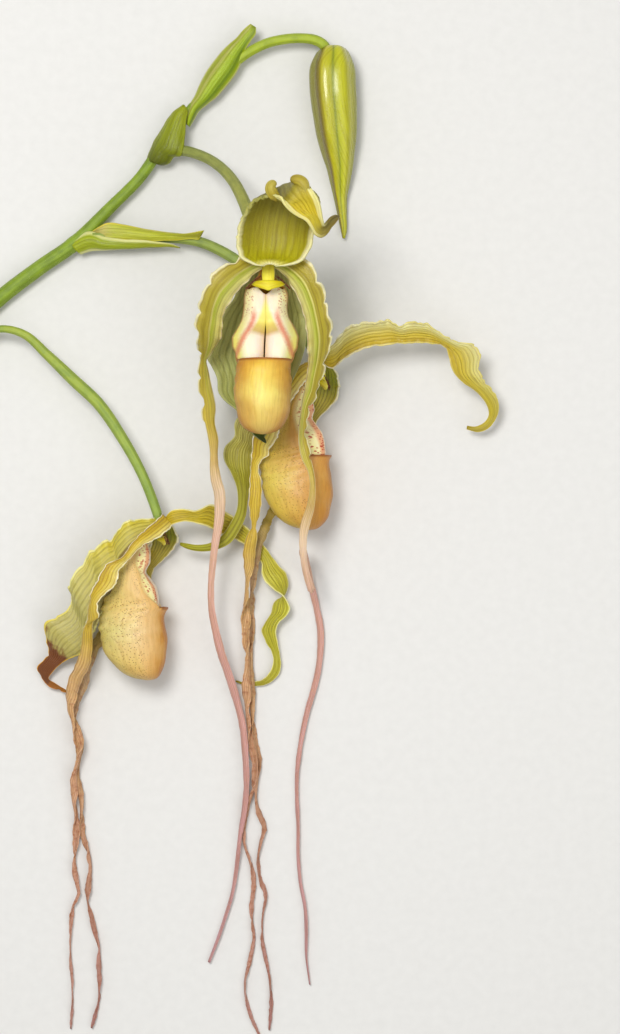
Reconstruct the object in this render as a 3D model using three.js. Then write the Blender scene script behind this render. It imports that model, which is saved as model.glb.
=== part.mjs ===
// A cut flowering stem of a long-petalled slipper orchid: a curved stem with four bracts, three open
// flowers and one bud, lying on a surface. Millimetres, +Z up, lying in the XY plane.
// Flower A faces up, away from the surface. Flowers B and C lie on their sides and face +X.
import * as THREE from 'three';

// --- driving dimensions -------------------------------------------------------------------------
const SHEET = 1.0;              // thickness of petals, sepals and bracts
const LIP_WALL = 1.2;           // wall of a pouch
const ACROSS = 4;               // strips across a sheet
const ROUND = 10;               // sides of a stem
const BUD_ROUND = 14;           // sides of the bud
const COLUMN_ROUND = 8;         // sides of a column
const LIP_SIDES = 24;           // sides of a pouch
const LIP_ROWS = 9;             // rows of a pouch from toe to rim
const STATION_STEP = 7;         // length between two rings along a sheet or a stem
const RIM_DOWN = 38;            // how far the front rim of a pouch lies below the flower's centre
const SHOULDER_DOWN = 12;       // how far the sides of the opening lie below it
const BACK_DOWN = 0.5;          // how far the top of the back lies below it
const RIM_HALF_ANGLE = 25;      // half of the front opening between the side lobes, in degrees
const RIM_TURN = 20;            // angle over which the front rim rises to the sides, in degrees
const BACK_ANGLE = 69;          // angle from the front where the sides start to rise to the back
const ROW_SPREAD = 0.8;         // under 1, so that the rows of a pouch lie closer near its rim
const FLAT_TURN = 0.01;         // a bend under this many radians counts as flat
const ORIGIN = [-59.8, -6.4, 0.1];   // middle of the whole cut stem on the surface it lies on

const UP = new THREE.Vector3(0, 0, 1);
const group = new THREE.Group();

// --- colours -------------------------------------------------------------------------------------
const COLOURS = {
  stem: 0x6e9a12,
  bract: 0xa8ba2a,
  bud: 0xafb80c,
  sepal: 0xb4ad3a,
  petal: 0xc8b464,
  lip: 0xe0a62a,
  column: 0xe6d400,
};

function add(name, colour, geometry) {
  const material = new THREE.MeshStandardMaterial({
    color: COLOURS[colour],
    roughness: 0.5,
    metalness: 0,
    flatShading: true,
  });
  const mesh = new THREE.Mesh(geometry, material);
  mesh.name = name;
  mesh.position.set(-ORIGIN[0], -ORIGIN[1], -ORIGIN[2]);
  group.add(mesh);
}

// --- closed skins --------------------------------------------------------------------------------
function signedVolume(points, faces) {
  let sum = 0;
  for (const [a, b, c] of faces) {
    sum += points[a].dot(new THREE.Vector3().crossVectors(points[b], points[c]));
  }
  return sum / 6;
}

function solidFrom(points, faces) {
  const outward = signedVolume(points, faces) > 0;
  const order = outward ? faces : faces.map(([a, b, c]) => [a, c, b]);
  const geometry = new THREE.BufferGeometry();
  geometry.setFromPoints(points);
  geometry.setIndex(order.flat());
  return geometry;
}

// Joins rings of the same number of points, and closes both ends with strips across the ring.
function skin(rings) {
  const size = rings[0].length;
  const faces = [];
  for (let i = 0; i + 1 < rings.length; i += 1) {
    for (let j = 0; j < size; j += 1) {
      const next = (j + 1) % size;
      const a = i * size + j;
      const b = i * size + next;
      faces.push([a, b, b + size], [a, b + size, a + size]);
    }
  }
  const last = (rings.length - 1) * size;
  for (let j = 0; j + 1 < size / 2; j += 1) {
    const k = size - 1 - j;
    faces.push([j, k, k - 1], [j, k - 1, j + 1]);
    faces.push([last + j, last + k - 1, last + k], [last + j, last + j + 1, last + k - 1]);
  }
  return solidFrom(rings.flat(), faces);
}

// Smooth run through hand-set stations. The first three numbers are a place, the rest are sizes.
function run(stations) {
  const places = stations.map((s) => new THREE.Vector3(s[0], s[1], s[2]));
  const curve = new THREE.CatmullRomCurve3(places, false, 'centripetal');
  const spans = stations.length - 1;
  const rings = [];
  for (let i = 0; i < spans; i += 1) {
    const steps = Math.max(1, Math.round(places[i].distanceTo(places[i + 1]) / STATION_STEP));
    for (let k = 0; k < steps; k += 1) {
      rings.push((i + k / steps) / spans);
    }
  }
  rings.push(1);
  return rings.map((t) => {
    const at = Math.min(Math.floor(t * spans), spans - 1);
    const part = t * spans - at;
    const sizes = stations[at].slice(3).map((v, k) => v + part * (stations[at + 1][k + 3] - v));
    return { place: curve.getPoint(t), tangent: curve.getTangent(t), sizes };
  });
}

// Axes across a run: `normal` is the face side, turned by roll degrees about the run.
function axes(tangent, face, roll) {
  const normal = face.clone().addScaledVector(tangent, -face.dot(tangent)).normalize();
  normal.applyAxisAngle(tangent, THREE.MathUtils.degToRad(roll));
  const side = new THREE.Vector3().crossVectors(normal, tangent);
  return { normal, side };
}

// A sheet bent across its run. Stations: x, y, z, half width, roll, bend (both in degrees).
// A positive bend lifts both margins towards the face side.
function sheet(stations, face = UP, thickness = SHEET) {
  const rings = run(stations).map(({ place, tangent, sizes }) => {
    const [half, roll, bend] = sizes;
    const { normal, side } = axes(tangent, face, roll);
    const turn = THREE.MathUtils.degToRad(bend) / 2;
    const flat = Math.abs(turn) < FLAT_TURN;
    const rows = [[], []];
    for (let j = 0; j <= ACROSS; j += 1) {
      const across = (2 * j) / ACROSS - 1;
      const angle = flat ? 0 : turn * across;
      const out = flat ? half * across : (half * Math.sin(angle)) / Math.sin(turn);
      const lift = flat ? 0 : (half * (1 - Math.cos(angle))) / Math.sin(turn);
      const middle = place.clone().addScaledVector(side, out).addScaledVector(normal, lift);
      const away = normal.clone().multiplyScalar(Math.cos(angle)).addScaledVector(side, -Math.sin(angle));
      rows[0].push(middle.clone().addScaledVector(away, thickness / 2));
      rows[1].unshift(middle.clone().addScaledVector(away, -thickness / 2));
    }
    return rows.flat();
  });
  return skin(rings);
}

// A solid rod. Stations: x, y, z, half width, half thickness.
function rod(stations, face = UP, sides = ROUND) {
  const rings = run(stations).map(({ place, tangent, sizes }) => {
    const [half, deep] = sizes;
    const { normal, side } = axes(tangent, face, 0);
    return Array.from({ length: sides }, (_, j) => {
      const angle = (2 * Math.PI * (j + 0.5)) / sides;
      return place.clone()
        .addScaledVector(side, half * Math.cos(angle))
        .addScaledVector(normal, (deep ?? half) * Math.sin(angle));
    });
  });
  return skin(rings);
}

// A bract: a channel around the run of the flower stalk that it shelters.
// Stations: x, y, z, inner radius, half of the angle that it wraps, turn of its middle (degrees).
function channel(stations) {
  const rings = run(stations).map(({ place, tangent, sizes }) => {
    const [radius, wrap, turn] = sizes;
    const { normal, side } = axes(tangent, UP, turn);
    const rows = [[], []];
    for (let j = 0; j <= 2 * ACROSS; j += 1) {
      const angle = THREE.MathUtils.degToRad(wrap * (j / ACROSS - 1));
      const away = side.clone().multiplyScalar(Math.sin(angle));
      away.addScaledVector(normal, -Math.cos(angle));
      rows[0].push(place.clone().addScaledVector(away, radius));
      rows[1].unshift(place.clone().addScaledVector(away, radius + SHEET));
    }
    return rows.flat();
  });
  return skin(rings);
}

// --- the stem ------------------------------------------------------------------------------------
const STEM = [
  [-196, -18.5, 3.6, 3.4], [-188, 7, 3.8, 3.4], [-179, 30.5, 4.2, 3.3], [-169.5, 50.5, 4.6, 3.3],
  [-153, 73, 5, 3.2], [-132, 93, 5, 3.2], [-115, 106, 5, 3.1], [-100, 116.5, 5.2, 3],
  [-85, 131.5, 5.4, 2.4], [-72.5, 144, 5.6, 2.3], [-64, 156, 5.8, 2.3], [-56, 166, 6, 2.1],
  [-50, 174, 6.2, 2], [-44.5, 179, 6.4, 1.9],
];
add('stem', 'stem', rod(STEM));

// --- stalks with their ovaries -------------------------------------------------------------------
const STALKS = {
  A: [
    [-59.6, 155.8, 6.6, 1.8], [-54, 156, 9, 2.1], [-48, 154, 14, 2.1], [-40.5, 149.5, 22, 2.1],
    [-33, 141, 33, 2.2], [-27.5, 130.5, 44, 2.4], [-23.5, 119, 53, 2.5], [-20, 109, 58.5, 2.5],
    [-18, 104.2, 60.8, 2.5],
  ],
  B: [
    [-92.2, 118.9, 8.2, 1.9], [-81.5, 119.5, 7.4, 2], [-70, 119, 7, 2.1], [-58.5, 118.5, 8, 2.1],
    [-46.5, 116.5, 9, 2.1], [-34, 110.5, 11, 2.2], [-20.5, 100, 13, 2.3], [-8.5, 86.5, 15, 2.4],
    [-1, 75.5, 16, 2.4], [3.2, 66.6, 17, 2.2],
  ],
  C: [
    [-163.7, 49.6, 6.4, 1.6], [-156.5, 60.5, 7.6, 1.6], [-148, 69.5, 9, 1.5], [-140, 76, 10.5, 1.5],
    [-131, 79.5, 12, 1.5], [-120.5, 77, 13, 1.7], [-111, 68.5, 13.5, 2], [-100, 58, 14, 2.4],
    [-89, 47.5, 14.5, 2.5], [-79, 33, 15.5, 2.4], [-70.5, 17.5, 16.5, 2.3], [-64.9, 1.4, 16.5, 2.2],
  ],
  bud: [
    [-44.1, 179.4, 6.4, 1.8], [-35, 189, 7, 1.9], [-30.5, 194, 7.5, 2], [-25.5, 197.5, 8, 2],
    [-18, 201, 8.5, 2], [-9.5, 202.5, 9, 2], [-1.5, 202, 9.5, 2.1], [3.6, 201.2, 10, 2.3],
    [6.4, 199.9, 9.9, 2.2],
  ],
};
for (const [key, stations] of Object.entries(STALKS)) {
  const name = key === 'bud' ? 'pedicel_bud' : `pedicel_ovary_${key.toLowerCase()}`;
  add(name, 'stem', rod(stations));
}

// --- bracts --------------------------------------------------------------------------------------
const BRACTS = {
  a: [
    [-67.5, 151, 5.7, 2.8, 40, 135], [-64, 156, 5.8, 3, 75, 135], [-60, 161, 5.9, 3.2, 80, 135],
    [-56, 166.5, 6, 3.2, 75, 135], [-53.5, 171, 6.4, 3, 50, 135], [-52.5, 175.5, 7, 2.6, 15, 135],
  ],
  b: [
    [-92, 119, 8.2, 3, 50, -50], [-84, 119.5, 7.8, 3.6, 95, -20], [-74, 119.6, 7.6, 4.2, 100, 0],
    [-62, 119.4, 8, 4, 95, 0], [-52, 118.8, 8.6, 3.4, 60, 20], [-44.5, 119.8, 9, 3, 15, 30],
  ],
  c: [
    [-163, 50.4, 6.5, 2.3, 50, -60], [-156.5, 60.5, 7.6, 3, 85, -70], [-148, 69.5, 9, 3.2, 95, -80],
    [-142, 74.7, 10.2, 2.7, 80, -80], [-136, 78, 11.3, 2.4, 45, -80],
  ],
  bud: [
    [-47, 177, 6.3, 2.5, 55, 90], [-42, 183, 6.6, 2.8, 85, 90], [-37, 190, 7, 3.4, 95, 90],
    [-32.5, 196.5, 7.4, 3.6, 90, 90], [-28.5, 202, 7.8, 3, 75, 90], [-24.5, 207, 8, 1.9, 30, 90],
  ],
};
for (const [key, stations] of Object.entries(BRACTS)) {
  add(`bract_${key}`, 'bract', channel(stations));
}

// --- the bud -------------------------------------------------------------------------------------
const BUD = [
  [8, 197.8, 9.7, 2.4, 2.4], [8.6, 193.5, 9.7, 6.4, 6.4], [9.3, 185, 9.7, 9.2, 9],
  [10, 174.5, 9.5, 9.5, 9.4], [10.5, 162, 8.6, 8.4, 8.3], [12, 149.5, 7.2, 6.5, 6.4],
  [13, 137, 5.4, 4.4, 4.4], [14, 126.5, 3.5, 2.4, 2.4], [14.4, 118.5, 2.2, 0.8, 0.8],
];
add('bud', 'bud', rod(BUD, UP, BUD_ROUND));

// Inner face of a flower's sepals: the dorsal sepal of flower A arches over towards its lip.
const SEPAL_FACE = {
  a: new THREE.Vector3(0, -1, 1),
  b: UP,
  c: UP,
};

// --- sepals --------------------------------------------------------------------------------------
const DORSAL_SEPALS = {
  a: [
    [-18, 106.2, 63, 2, 0, 0], [-17.5, 109.5, 68, 9, 0, 20], [-17, 113, 72, 15, 0, 25],
    [-16, 118, 77, 16, 0, 30], [-14.5, 123.5, 83, 14.5, 0, 20], [-12, 128, 90, 12, 5, 0],
    [-8, 128.5, 96, 8.5, 25, -20], [-3, 125, 99, 6.5, 50, -20], [0.5, 119.5, 98, 5, 60, 0],
    [3.5, 114, 94, 3, 60, 0], [7, 114, 89, 1.5, 40, 0], [10.5, 118, 85, 1, 20, 0],
    [14, 122, 82, 0.5, 0, 0],
  ],
  b: [
    [5.8, 68.2, 18, 1.5, 0, 0], [12, 69.5, 21, 5, 0, -60], [17, 70, 22.5, 8.5, 0, -110],
    [23.5, 71, 23, 9.5, 0, -130], [31.5, 72, 23, 9.5, 0, -130], [40.5, 73, 22, 8.5, 0, -120],
    [48.5, 73, 21, 6.5, 0, -90], [54.5, 72.5, 20, 4, 30, -50], [58.5, 72, 19, 4, 80, 0],
    [62.5, 68.5, 18, 5, 150, 20], [65.5, 63.5, 17, 5.5, 180, 30], [69, 58, 15, 4, 180, 20],
    [73.5, 53, 13, 3, 190, 0], [77, 47.5, 11, 2.5, 200, 0], [77.5, 42, 9, 2, 210, 0],
    [74, 38, 8, 1.5, 200, 0], [69.5, 37, 7, 1, 190, 0], [66.5, 38, 6.5, 0.5, 180, 0],
  ],
  c: [
    [-62.1, 3.2, 17.8, 1.5, 0, 0], [-57.5, 4.4, 20.2, 3, 0, -40], [-50.5, 2, 20, 6, 0, -100],
    [-43.5, -1.5, 15, 7.5, 0, -110], [-37, -4, 11, 7.5, 0, -100], [-30.5, -8, 8, 6.5, 0, -80],
    [-24.5, -12.5, 5.6, 4.5, 0, -40], [-20, -18, 5, 4, 10, 0], [-16, -24.5, 5.4, 4, 30, 20],
    [-12.5, -32.5, 5.4, 4, 90, 20], [-12.5, -39, 5, 4, 160, 20], [-16, -45.5, 5, 3.5, 250, 0],
    [-18, -52, 4.6, 3.5, 340, 20], [-15.5, -58.5, 4, 2.5, 370, 10], [-13, -64, 3, 1.5, 390, 0],
    [-16, -69, 2, 1.5, 380, 0], [-22, -71.5, 1.2, 1, 370, 0], [-27.5, -71.5, 1, 1, 360, 0],
    [-31, -70.3, 1, 0.5, 360, 0],
  ],
};
const SYNSEPALS = {
  a: [
    [-18, 101.9, 58.4, 2, 0, 0], [-19.5, 95.5, 46, 8.5, 0, 30], [-21, 86.5, 38, 14.5, 0, 40],
    [-23, 76.5, 34, 18.5, 0, 35], [-23.5, 67, 32.5, 18.5, 0, 30], [-24.5, 57, 32.5, 14.5, 0, 30],
    [-24, 47.5, 34, 10, 0, 20], [-22.5, 39.5, 36, 5, 0, 10], [-18.5, 31.5, 37, 1, 0, 0],
  ],
  b: [
    [0.4, 65.8, 15.6, 1.6, 0, 0], [-6, 62, 13.4, 3, 0, 20], [-13, 55.5, 13, 5, 10, 30],
    [-18, 47.5, 13, 6.5, 10, 30], [-23.5, 41, 13, 6.5, 0, 30], [-27.5, 33.5, 13, 6.5, 0, 20],
    [-29.5, 26, 13, 6.5, 0, 20], [-29, 17.5, 13, 4, 0, 20], [-28.5, 10, 13, 2.5, 0, 0],
    [-28.5, 4, 13.5, 2, 0, 0], [-31, -2, 14, 2, 0, 0], [-34.5, -7, 14.5, 2, 0, 0],
    [-40.5, -11.5, 14, 1.5, 0, 0], [-47.5, -13, 13, 1.5, 0, 0], [-54.5, -11, 11.5, 0.5, 0, 0],
  ],
  c: [
    [-67.6, 0.6, 16, 1.8, 0, 0], [-73.5, -3.5, 17, 4, 20, 20], [-79.5, -7.5, 17.5, 6, 30, 40],
    [-86, -14.5, 17, 7.5, 20, 40], [-91.5, -24, 15.5, 8.5, -10, 30], [-96, -33.5, 13.5, 8.5, -20, 20],
    [-100, -43.5, 11.5, 8.5, -20, 10], [-104, -53, 9, 7, -10, 10], [-108.5, -60.5, 6, 4.5, 0, 10],
    [-112.5, -66.5, 4, 2.5, 20, 0], [-111.5, -71, 2.8, 1.5, 60, 0], [-108, -73.5, 2.8, 1, 90, 0],
    [-103.5, -75, 3, 0.5, 90, 0],
  ],
};
for (const key of ['a', 'b', 'c']) {
  add(`dorsal_sepal_${key}`, 'sepal', sheet(DORSAL_SEPALS[key], SEPAL_FACE[key]));
  add(`synsepal_${key}`, 'sepal', sheet(SYNSEPALS[key], SEPAL_FACE[key]));
}

// --- petals, each with its long tail -------------------------------------------------------------
const PETALS = {
  petal_left_a: [
    [-20.6, 103.4, 62.4, 1.5, 0, 0], [-25.5, 100.5, 66, 4, 0, 0], [-32, 96.5, 68, 6.5, 0, 10],
    [-37.5, 90, 66, 6.5, 0, 10], [-41, 81.5, 59, 5.5, 0, 10], [-42.5, 73.5, 49, 4.5, 0, 10],
    [-43.5, 65.5, 42, 3.5, 10, 0], [-43.5, 56.5, 37, 2.5, 30, 0], [-43, 47.5, 34, 2.5, 0, 0],
    [-42.5, 38.5, 31, 2, -30, 0], [-40.5, 29, 28, 2, 20, 0], [-40.5, 21.5, 26, 2, 60, 0],
    [-39.5, 13.5, 24, 2, 20, 0], [-37.5, 4.5, 22, 2, -10, 0], [-38, -5.5, 20, 2, 20, 0],
    [-39.5, -14.5, 16, 2, 0, 0], [-41, -24.5, 9, 2, 0, 0], [-42, -34.5, 3, 2, 0, 0],
    [-41.5, -44, 1.2, 2, 0, 0], [-40, -54.5, 1.2, 2, 0, 0], [-37, -63.5, 1.2, 2, 0, 0],
    [-33.5, -73, 1.4, 2, 0, 0], [-30.5, -80.5, 4.2, 2, 0, 0], [-28.5, -89.5, 5, 2, 0, 0],
    [-27.5, -100.5, 5.2, 2, 0, 0], [-27, -114.5, 4.8, 2, 0, 0], [-28, -125.5, 4.2, 2, 0, 0],
    [-29.5, -134.5, 3, 1.5, 0, 0], [-30.5, -143, 2.6, 1.5, 0, 0], [-31.5, -151.5, 1.2, 1.5, 0, 0],
    [-33, -160.5, 1.2, 1.5, 0, 0], [-35.5, -169, 1.2, 1, 0, 0], [-39, -179.5, 1.2, 1, 0, 0],
    [-43, -190, 1.2, 0.5, 0, 0],
  ],
  petal_right_a: [
    [-15.5, 103.6, 62.2, 1.5, 0, 0], [-10.5, 100, 66, 4, 0, 0], [-5, 96, 68, 6.5, 0, 10],
    [-0.5, 89, 66, 6.5, 0, 10], [2.5, 81.5, 60, 5.5, 0, 10], [3.5, 73, 52, 4.5, 0, 10],
    [3, 65.5, 46, 4, 0, 0], [1, 56.5, 41, 3.5, 0, 0], [-1.5, 48.5, 38, 2, 40, 0],
    [-3.5, 40, 37, 1.5, 60, 0], [-4, 32, 36, 2, 20, 0], [-1.5, 24.5, 36, 2, 10, 0],
    [1, 17, 35, 1.5, 0, 0], [1, 9.5, 34, 1.5, 20, 0], [-1, 2, 30, 2, 0, 0],
    [-2.5, -5.5, 23, 2, 0, 0], [-3, -14, 14, 1.5, 0, 0], [-1.5, -22.5, 6, 1.5, 0, 0],
    [1, -31, 2, 1.5, 0, 0], [3, -39.5, 1.2, 1.5, 0, 0], [4.5, -48, 1.2, 1.5, 0, 0],
    [4.5, -56.5, 1.2, 1.5, 0, 0], [3.5, -65.5, 1.2, 1.5, 0, 0], [1.5, -74, 1.2, 1.5, 0, 0],
    [-1, -82.5, 1.2, 1.5, 0, 0], [-3, -91.5, 1.2, 1.5, 0, 0], [-4.5, -100.5, 1.2, 1, 0, 0],
    [-5.5, -110, 1.2, 1, 0, 0], [-5.5, -121, 1.2, 1.5, 0, 0], [-5, -132.5, 1.2, 1.5, 0, 0],
    [-5, -144, 1.2, 1.5, 0, 0], [-4, -156, 1.2, 1.5, 0, 0], [-2, -166.5, 1.2, 1.5, 0, 0],
    [-1.5, -176, 1.2, 1.5, 0, 0], [-1.5, -187, 1.2, 1, 0, 0], [0, -199.5, 1.2, 0.5, 0, 0],
  ],
  petal_near_b: [
    [3, 65.6, 19.7, 1.5, 0, 0], [-1.5, 58.5, 25, 3.5, 0, 0], [-6.5, 51, 29, 5, 0, 10],
    [-11.5, 41, 31, 5.5, 0, 10], [-16.5, 31.5, 31, 4.5, -10, 10], [-20.5, 24, 29, 3.5, -20, 10],
    [-22.5, 16.5, 25, 2.5, 0, 0], [-23, 8.5, 21, 2.5, 20, 0], [-23.5, 1.5, 18, 2, 50, 0],
    [-24, -3.5, 16, 1.5, 80, 0], [-25, -10, 14, 2, 140, 0], [-26, -16.5, 12.5, 2, 180, 0],
    [-26.5, -22.5, 10, 1.5, 260, 0], [-27.5, -29.5, 7.5, 2, 330, 0], [-27, -39.5, 5, 1.5, 360, 0],
    [-27.5, -50, 4.5, 2, 400, 0], [-27, -61, 4.5, 1.5, 360, 0], [-27, -71.5, 5.6, 1.5, 330, 0],
    [-26.5, -80.5, 3.3, 1.5, 360, 0], [-25.5, -90, 3, 1.5, 360, 0], [-24.5, -99, 2.8, 1.5, 360, 0],
    [-23.5, -107, 2.6, 1.5, 360, 0], [-24.5, -115.5, 2.7, 1.5, 360, 0],
    [-27, -123.5, 2.3, 1.4, 360, 0], [-28.5, -132.5, 1.1, 1, 360, 0],
    [-27.5, -140.5, 1.1, 1, 360, 0], [-25, -148, 1.1, 1, 360, 0], [-24, -156.5, 1.1, 1, 360, 0],
    [-25, -165.5, 1.1, 1, 360, 0], [-25, -172, 1.1, 1, 360, 0], [-24, -179.5, 1.1, 1, 360, 0],
    [-25.5, -188.5, 1.1, 1, 360, 0], [-27.5, -198, 1.1, 1, 360, 0], [-27, -206, 1.1, 1, 360, 0],
    [-25, -213.5, 1.1, 1, 360, 0], [-21.5, -221.5, 1.1, 0.5, 360, 0],
  ],
  petal_far_b: [
    [3.6, 65.8, 14.2, 1.5, 0, 0], [9.5, 60, 10, 4, 0, 0], [10, 54.5, 7, 4.5, 0, 0],
    [7, 48, 4, 4.5, 0, 0], [2.5, 39.5, 2, 4.5, 0, 0], [-2.5, 29.5, 1.5, 4, 0, 0],
    [-7.5, 19, 1.5, 3.5, 0, 0], [-12.5, 9, 3, 2.5, 0, 0], [-16, 1.5, 6.5, 2, 0, 0],
    [-19, -4.5, 9, 1.5, 0, 0], [-21.5, -10.5, 9.6, 1.5, 0, 0], [-23, -17.5, 9, 1.5, 0, 0],
    [-24, -25, 6.4, 1.5, 0, 0], [-24.5, -34.5, 3, 1.5, 0, 0], [-25, -46, 1.2, 1.5, 0, 0],
    [-25.5, -59, 1.6, 1.5, 0, 0], [-25, -71, 2.8, 1.5, 0, 0], [-24.5, -81.5, 1.4, 1.5, 0, 0],
    [-23.5, -93, 1.2, 1.5, 0, 0], [-22, -103, 1.1, 1.5, 0, 0], [-23, -113, 1.1, 1.5, 0, 0],
    [-23.5, -120, 1.1, 1.5, 0, 0], [-22, -126, 1.1, 1.5, 0, 0], [-19.5, -132.5, 1.1, 1.5, 0, 0],
    [-21, -139.5, 1.1, 1, 0, 0], [-22, -147, 1.1, 1, 0, 0], [-21, -155, 1.1, 1, 0, 0],
    [-19, -161.5, 1.1, 1, 0, 0], [-20.5, -170.5, 1.1, 1, 0, 0], [-20.5, -180, 1.1, 1, 0, 0],
    [-19, -188, 1.1, 1, 0, 0], [-17, -197.5, 1.1, 1, 0, 0], [-16.5, -208, 1.1, 1, 0, 0],
    [-17.5, -219, 1.1, 0.5, 0, 0],
  ],
  petal_near_c: [
    [-65, 0.4, 19.2, 1.5, 0, 0], [-68, -6, 24.5, 3.5, 0, 0], [-72, -11.5, 29, 4, 0, 10],
    [-78, -18, 32, 4.5, 0, 10], [-83, -25, 33, 5, 0, 10], [-87.5, -32.5, 32.5, 4, 0, 10],
    [-90, -40.5, 30, 2.5, -10, 0], [-92.5, -48, 26, 2.5, -20, 0], [-94, -56, 21, 2, 10, 0],
    [-96, -63, 16, 2, 40, 0], [-99, -70, 12, 2.5, 20, 0], [-100.5, -77.5, 9, 2.5, 0, 0],
    [-100, -85.5, 7, 2, -20, 0], [-98, -93.5, 5.5, 2, -50, 0], [-99, -102, 5, 1.5, -20, 0],
    [-100.5, -111.5, 4.5, 1.5, 0, 0], [-100.5, -120.5, 2.5, 1.5, 0, 0],
    [-100.2, -129.5, 1.2, 1.3, 0, 0], [-100.7, -138, 1.2, 1.2, 0, 0], [-100.5, -145, 1.2, 1, 0, 0],
    [-99.5, -153.5, 1.2, 1, 0, 0], [-99.5, -160.5, 1.2, 1, 0, 0], [-101, -167.5, 1.2, 1, 0, 0],
    [-102.5, -175, 1.2, 1, 0, 0], [-102.5, -185.5, 1.2, 1, 0, 0], [-101.5, -198, 1.2, 1, 0, 0],
    [-101, -207.5, 1.2, 1, 0, 0], [-102, -219, 1.2, 0.5, 0, 0],
  ],
  petal_far_c: [
    [-64.3, 0.4, 13.7, 1.5, 0, 0], [-59.5, -6, 10, 3.5, 0, 0], [-59.5, -12, 7, 4.5, 0, 0],
    [-63, -17.5, 5, 4.5, 0, 0], [-68.5, -24, 2.5, 4.5, 0, 0], [-75.5, -32, 1.5, 4, 0, 0],
    [-82.5, -40, 1.5, 4, 0, 0], [-88, -48, 1.8, 3, 0, 0], [-91, -55, 2.5, 2.5, 0, 0],
    [-93.5, -62, 3.5, 2, 0, 0], [-95.5, -69.5, 4, 2, 0, 0], [-97.5, -77, 3.5, 2, 0, 0],
    [-99, -85.5, 3, 2, 0, 0], [-98, -95, 2, 2, 0, 0], [-98, -103.5, 1.6, 1.5, 0, 0],
    [-98.5, -111.5, 1.3, 1.5, 0, 0], [-97.5, -118, 1.2, 1.4, 0, 0], [-96.5, -126, 1.2, 1.3, 0, 0],
    [-96.8, -133.5, 1.2, 1.3, 0, 0], [-95, -143, 1.2, 1.5, 0, 0], [-93.5, -152, 1.2, 1.5, 0, 0],
    [-94.5, -164, 1.2, 1, 0, 0], [-92, -174.5, 1.2, 1, 0, 0], [-90, -185.5, 1.2, 1, 0, 0],
    [-89, -198, 1.2, 1, 0, 0], [-89.5, -208, 1.2, 1, 0, 0], [-93.5, -220.5, 1.2, 0.5, 0, 0],
  ],
};
for (const [name, stations] of Object.entries(PETALS)) {
  add(name, 'petal', sheet(stations));
}

// --- lips ----------------------------------------------------------------------------------------
// Each flower has its own axes: forward is the way that it faces, down runs to the toe of its lip.
const FLOWERS = {
  a: { centre: [-18, 103.5, 62], forward: [0, 0, 1], down: [0, -1, 0] },
  b: { centre: [4, 65.5, 17], forward: [1, 0, 0], down: [0, -1, 0] },
  c: { centre: [-64, 0, 16.5], forward: [1, 0, 0], down: [0, -1, 0] },
};
// Down, back edge, front edge and half width of a pouch, measured from the flower's centre.
const LIP_PROFILE = [
  [0.5, -2, 0.6, 1.8], [6, -5, -0.8, 5], [10.5, -8, -1.5, 8.2], [21, -14, 0, 11], [29.5, -19, 2, 12.8],
  [38, -23, 5, 11.9], [45.5, -25.4, 5, 11.8], [54.6, -24, 5, 12], [61, -20, 4.6, 11.2],
  [66, -14, 2.4, 8.2], [69, -8.5, -2, 3.4],
];
const TOE = 69.8;
const TOE_FORWARD = -5.2;

function placeIn(flower, across, forward, down) {
  const ahead = new THREE.Vector3(...flower.forward);
  const below = new THREE.Vector3(...flower.down);
  const side = new THREE.Vector3().crossVectors(ahead, below);
  return new THREE.Vector3(...flower.centre)
    .addScaledVector(side, across)
    .addScaledVector(ahead, forward)
    .addScaledVector(below, down);
}

function profileAt(down) {
  const top = LIP_PROFILE.findIndex((row) => row[0] > down);
  if (top === 0) return LIP_PROFILE[0];
  if (top < 0) return LIP_PROFILE.at(-1);
  const [low, high] = [LIP_PROFILE[top - 1], LIP_PROFILE[top]];
  const part = (down - low[0]) / (high[0] - low[0]);
  return low.map((v, k) => v + part * (high[k] - v));
}

// How far down the rim lies at an angle from the front: low in front, high at the back.
function rimDown(angle) {
  const away = THREE.MathUtils.radToDeg(Math.abs(angle));
  const rise = THREE.MathUtils.smoothstep(away, RIM_HALF_ANGLE, RIM_HALF_ANGLE + RIM_TURN);
  const back = THREE.MathUtils.smoothstep(away, BACK_ANGLE, 180);
  return RIM_DOWN - rise * (RIM_DOWN - SHOULDER_DOWN) - back * (SHOULDER_DOWN - BACK_DOWN);
}

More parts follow.
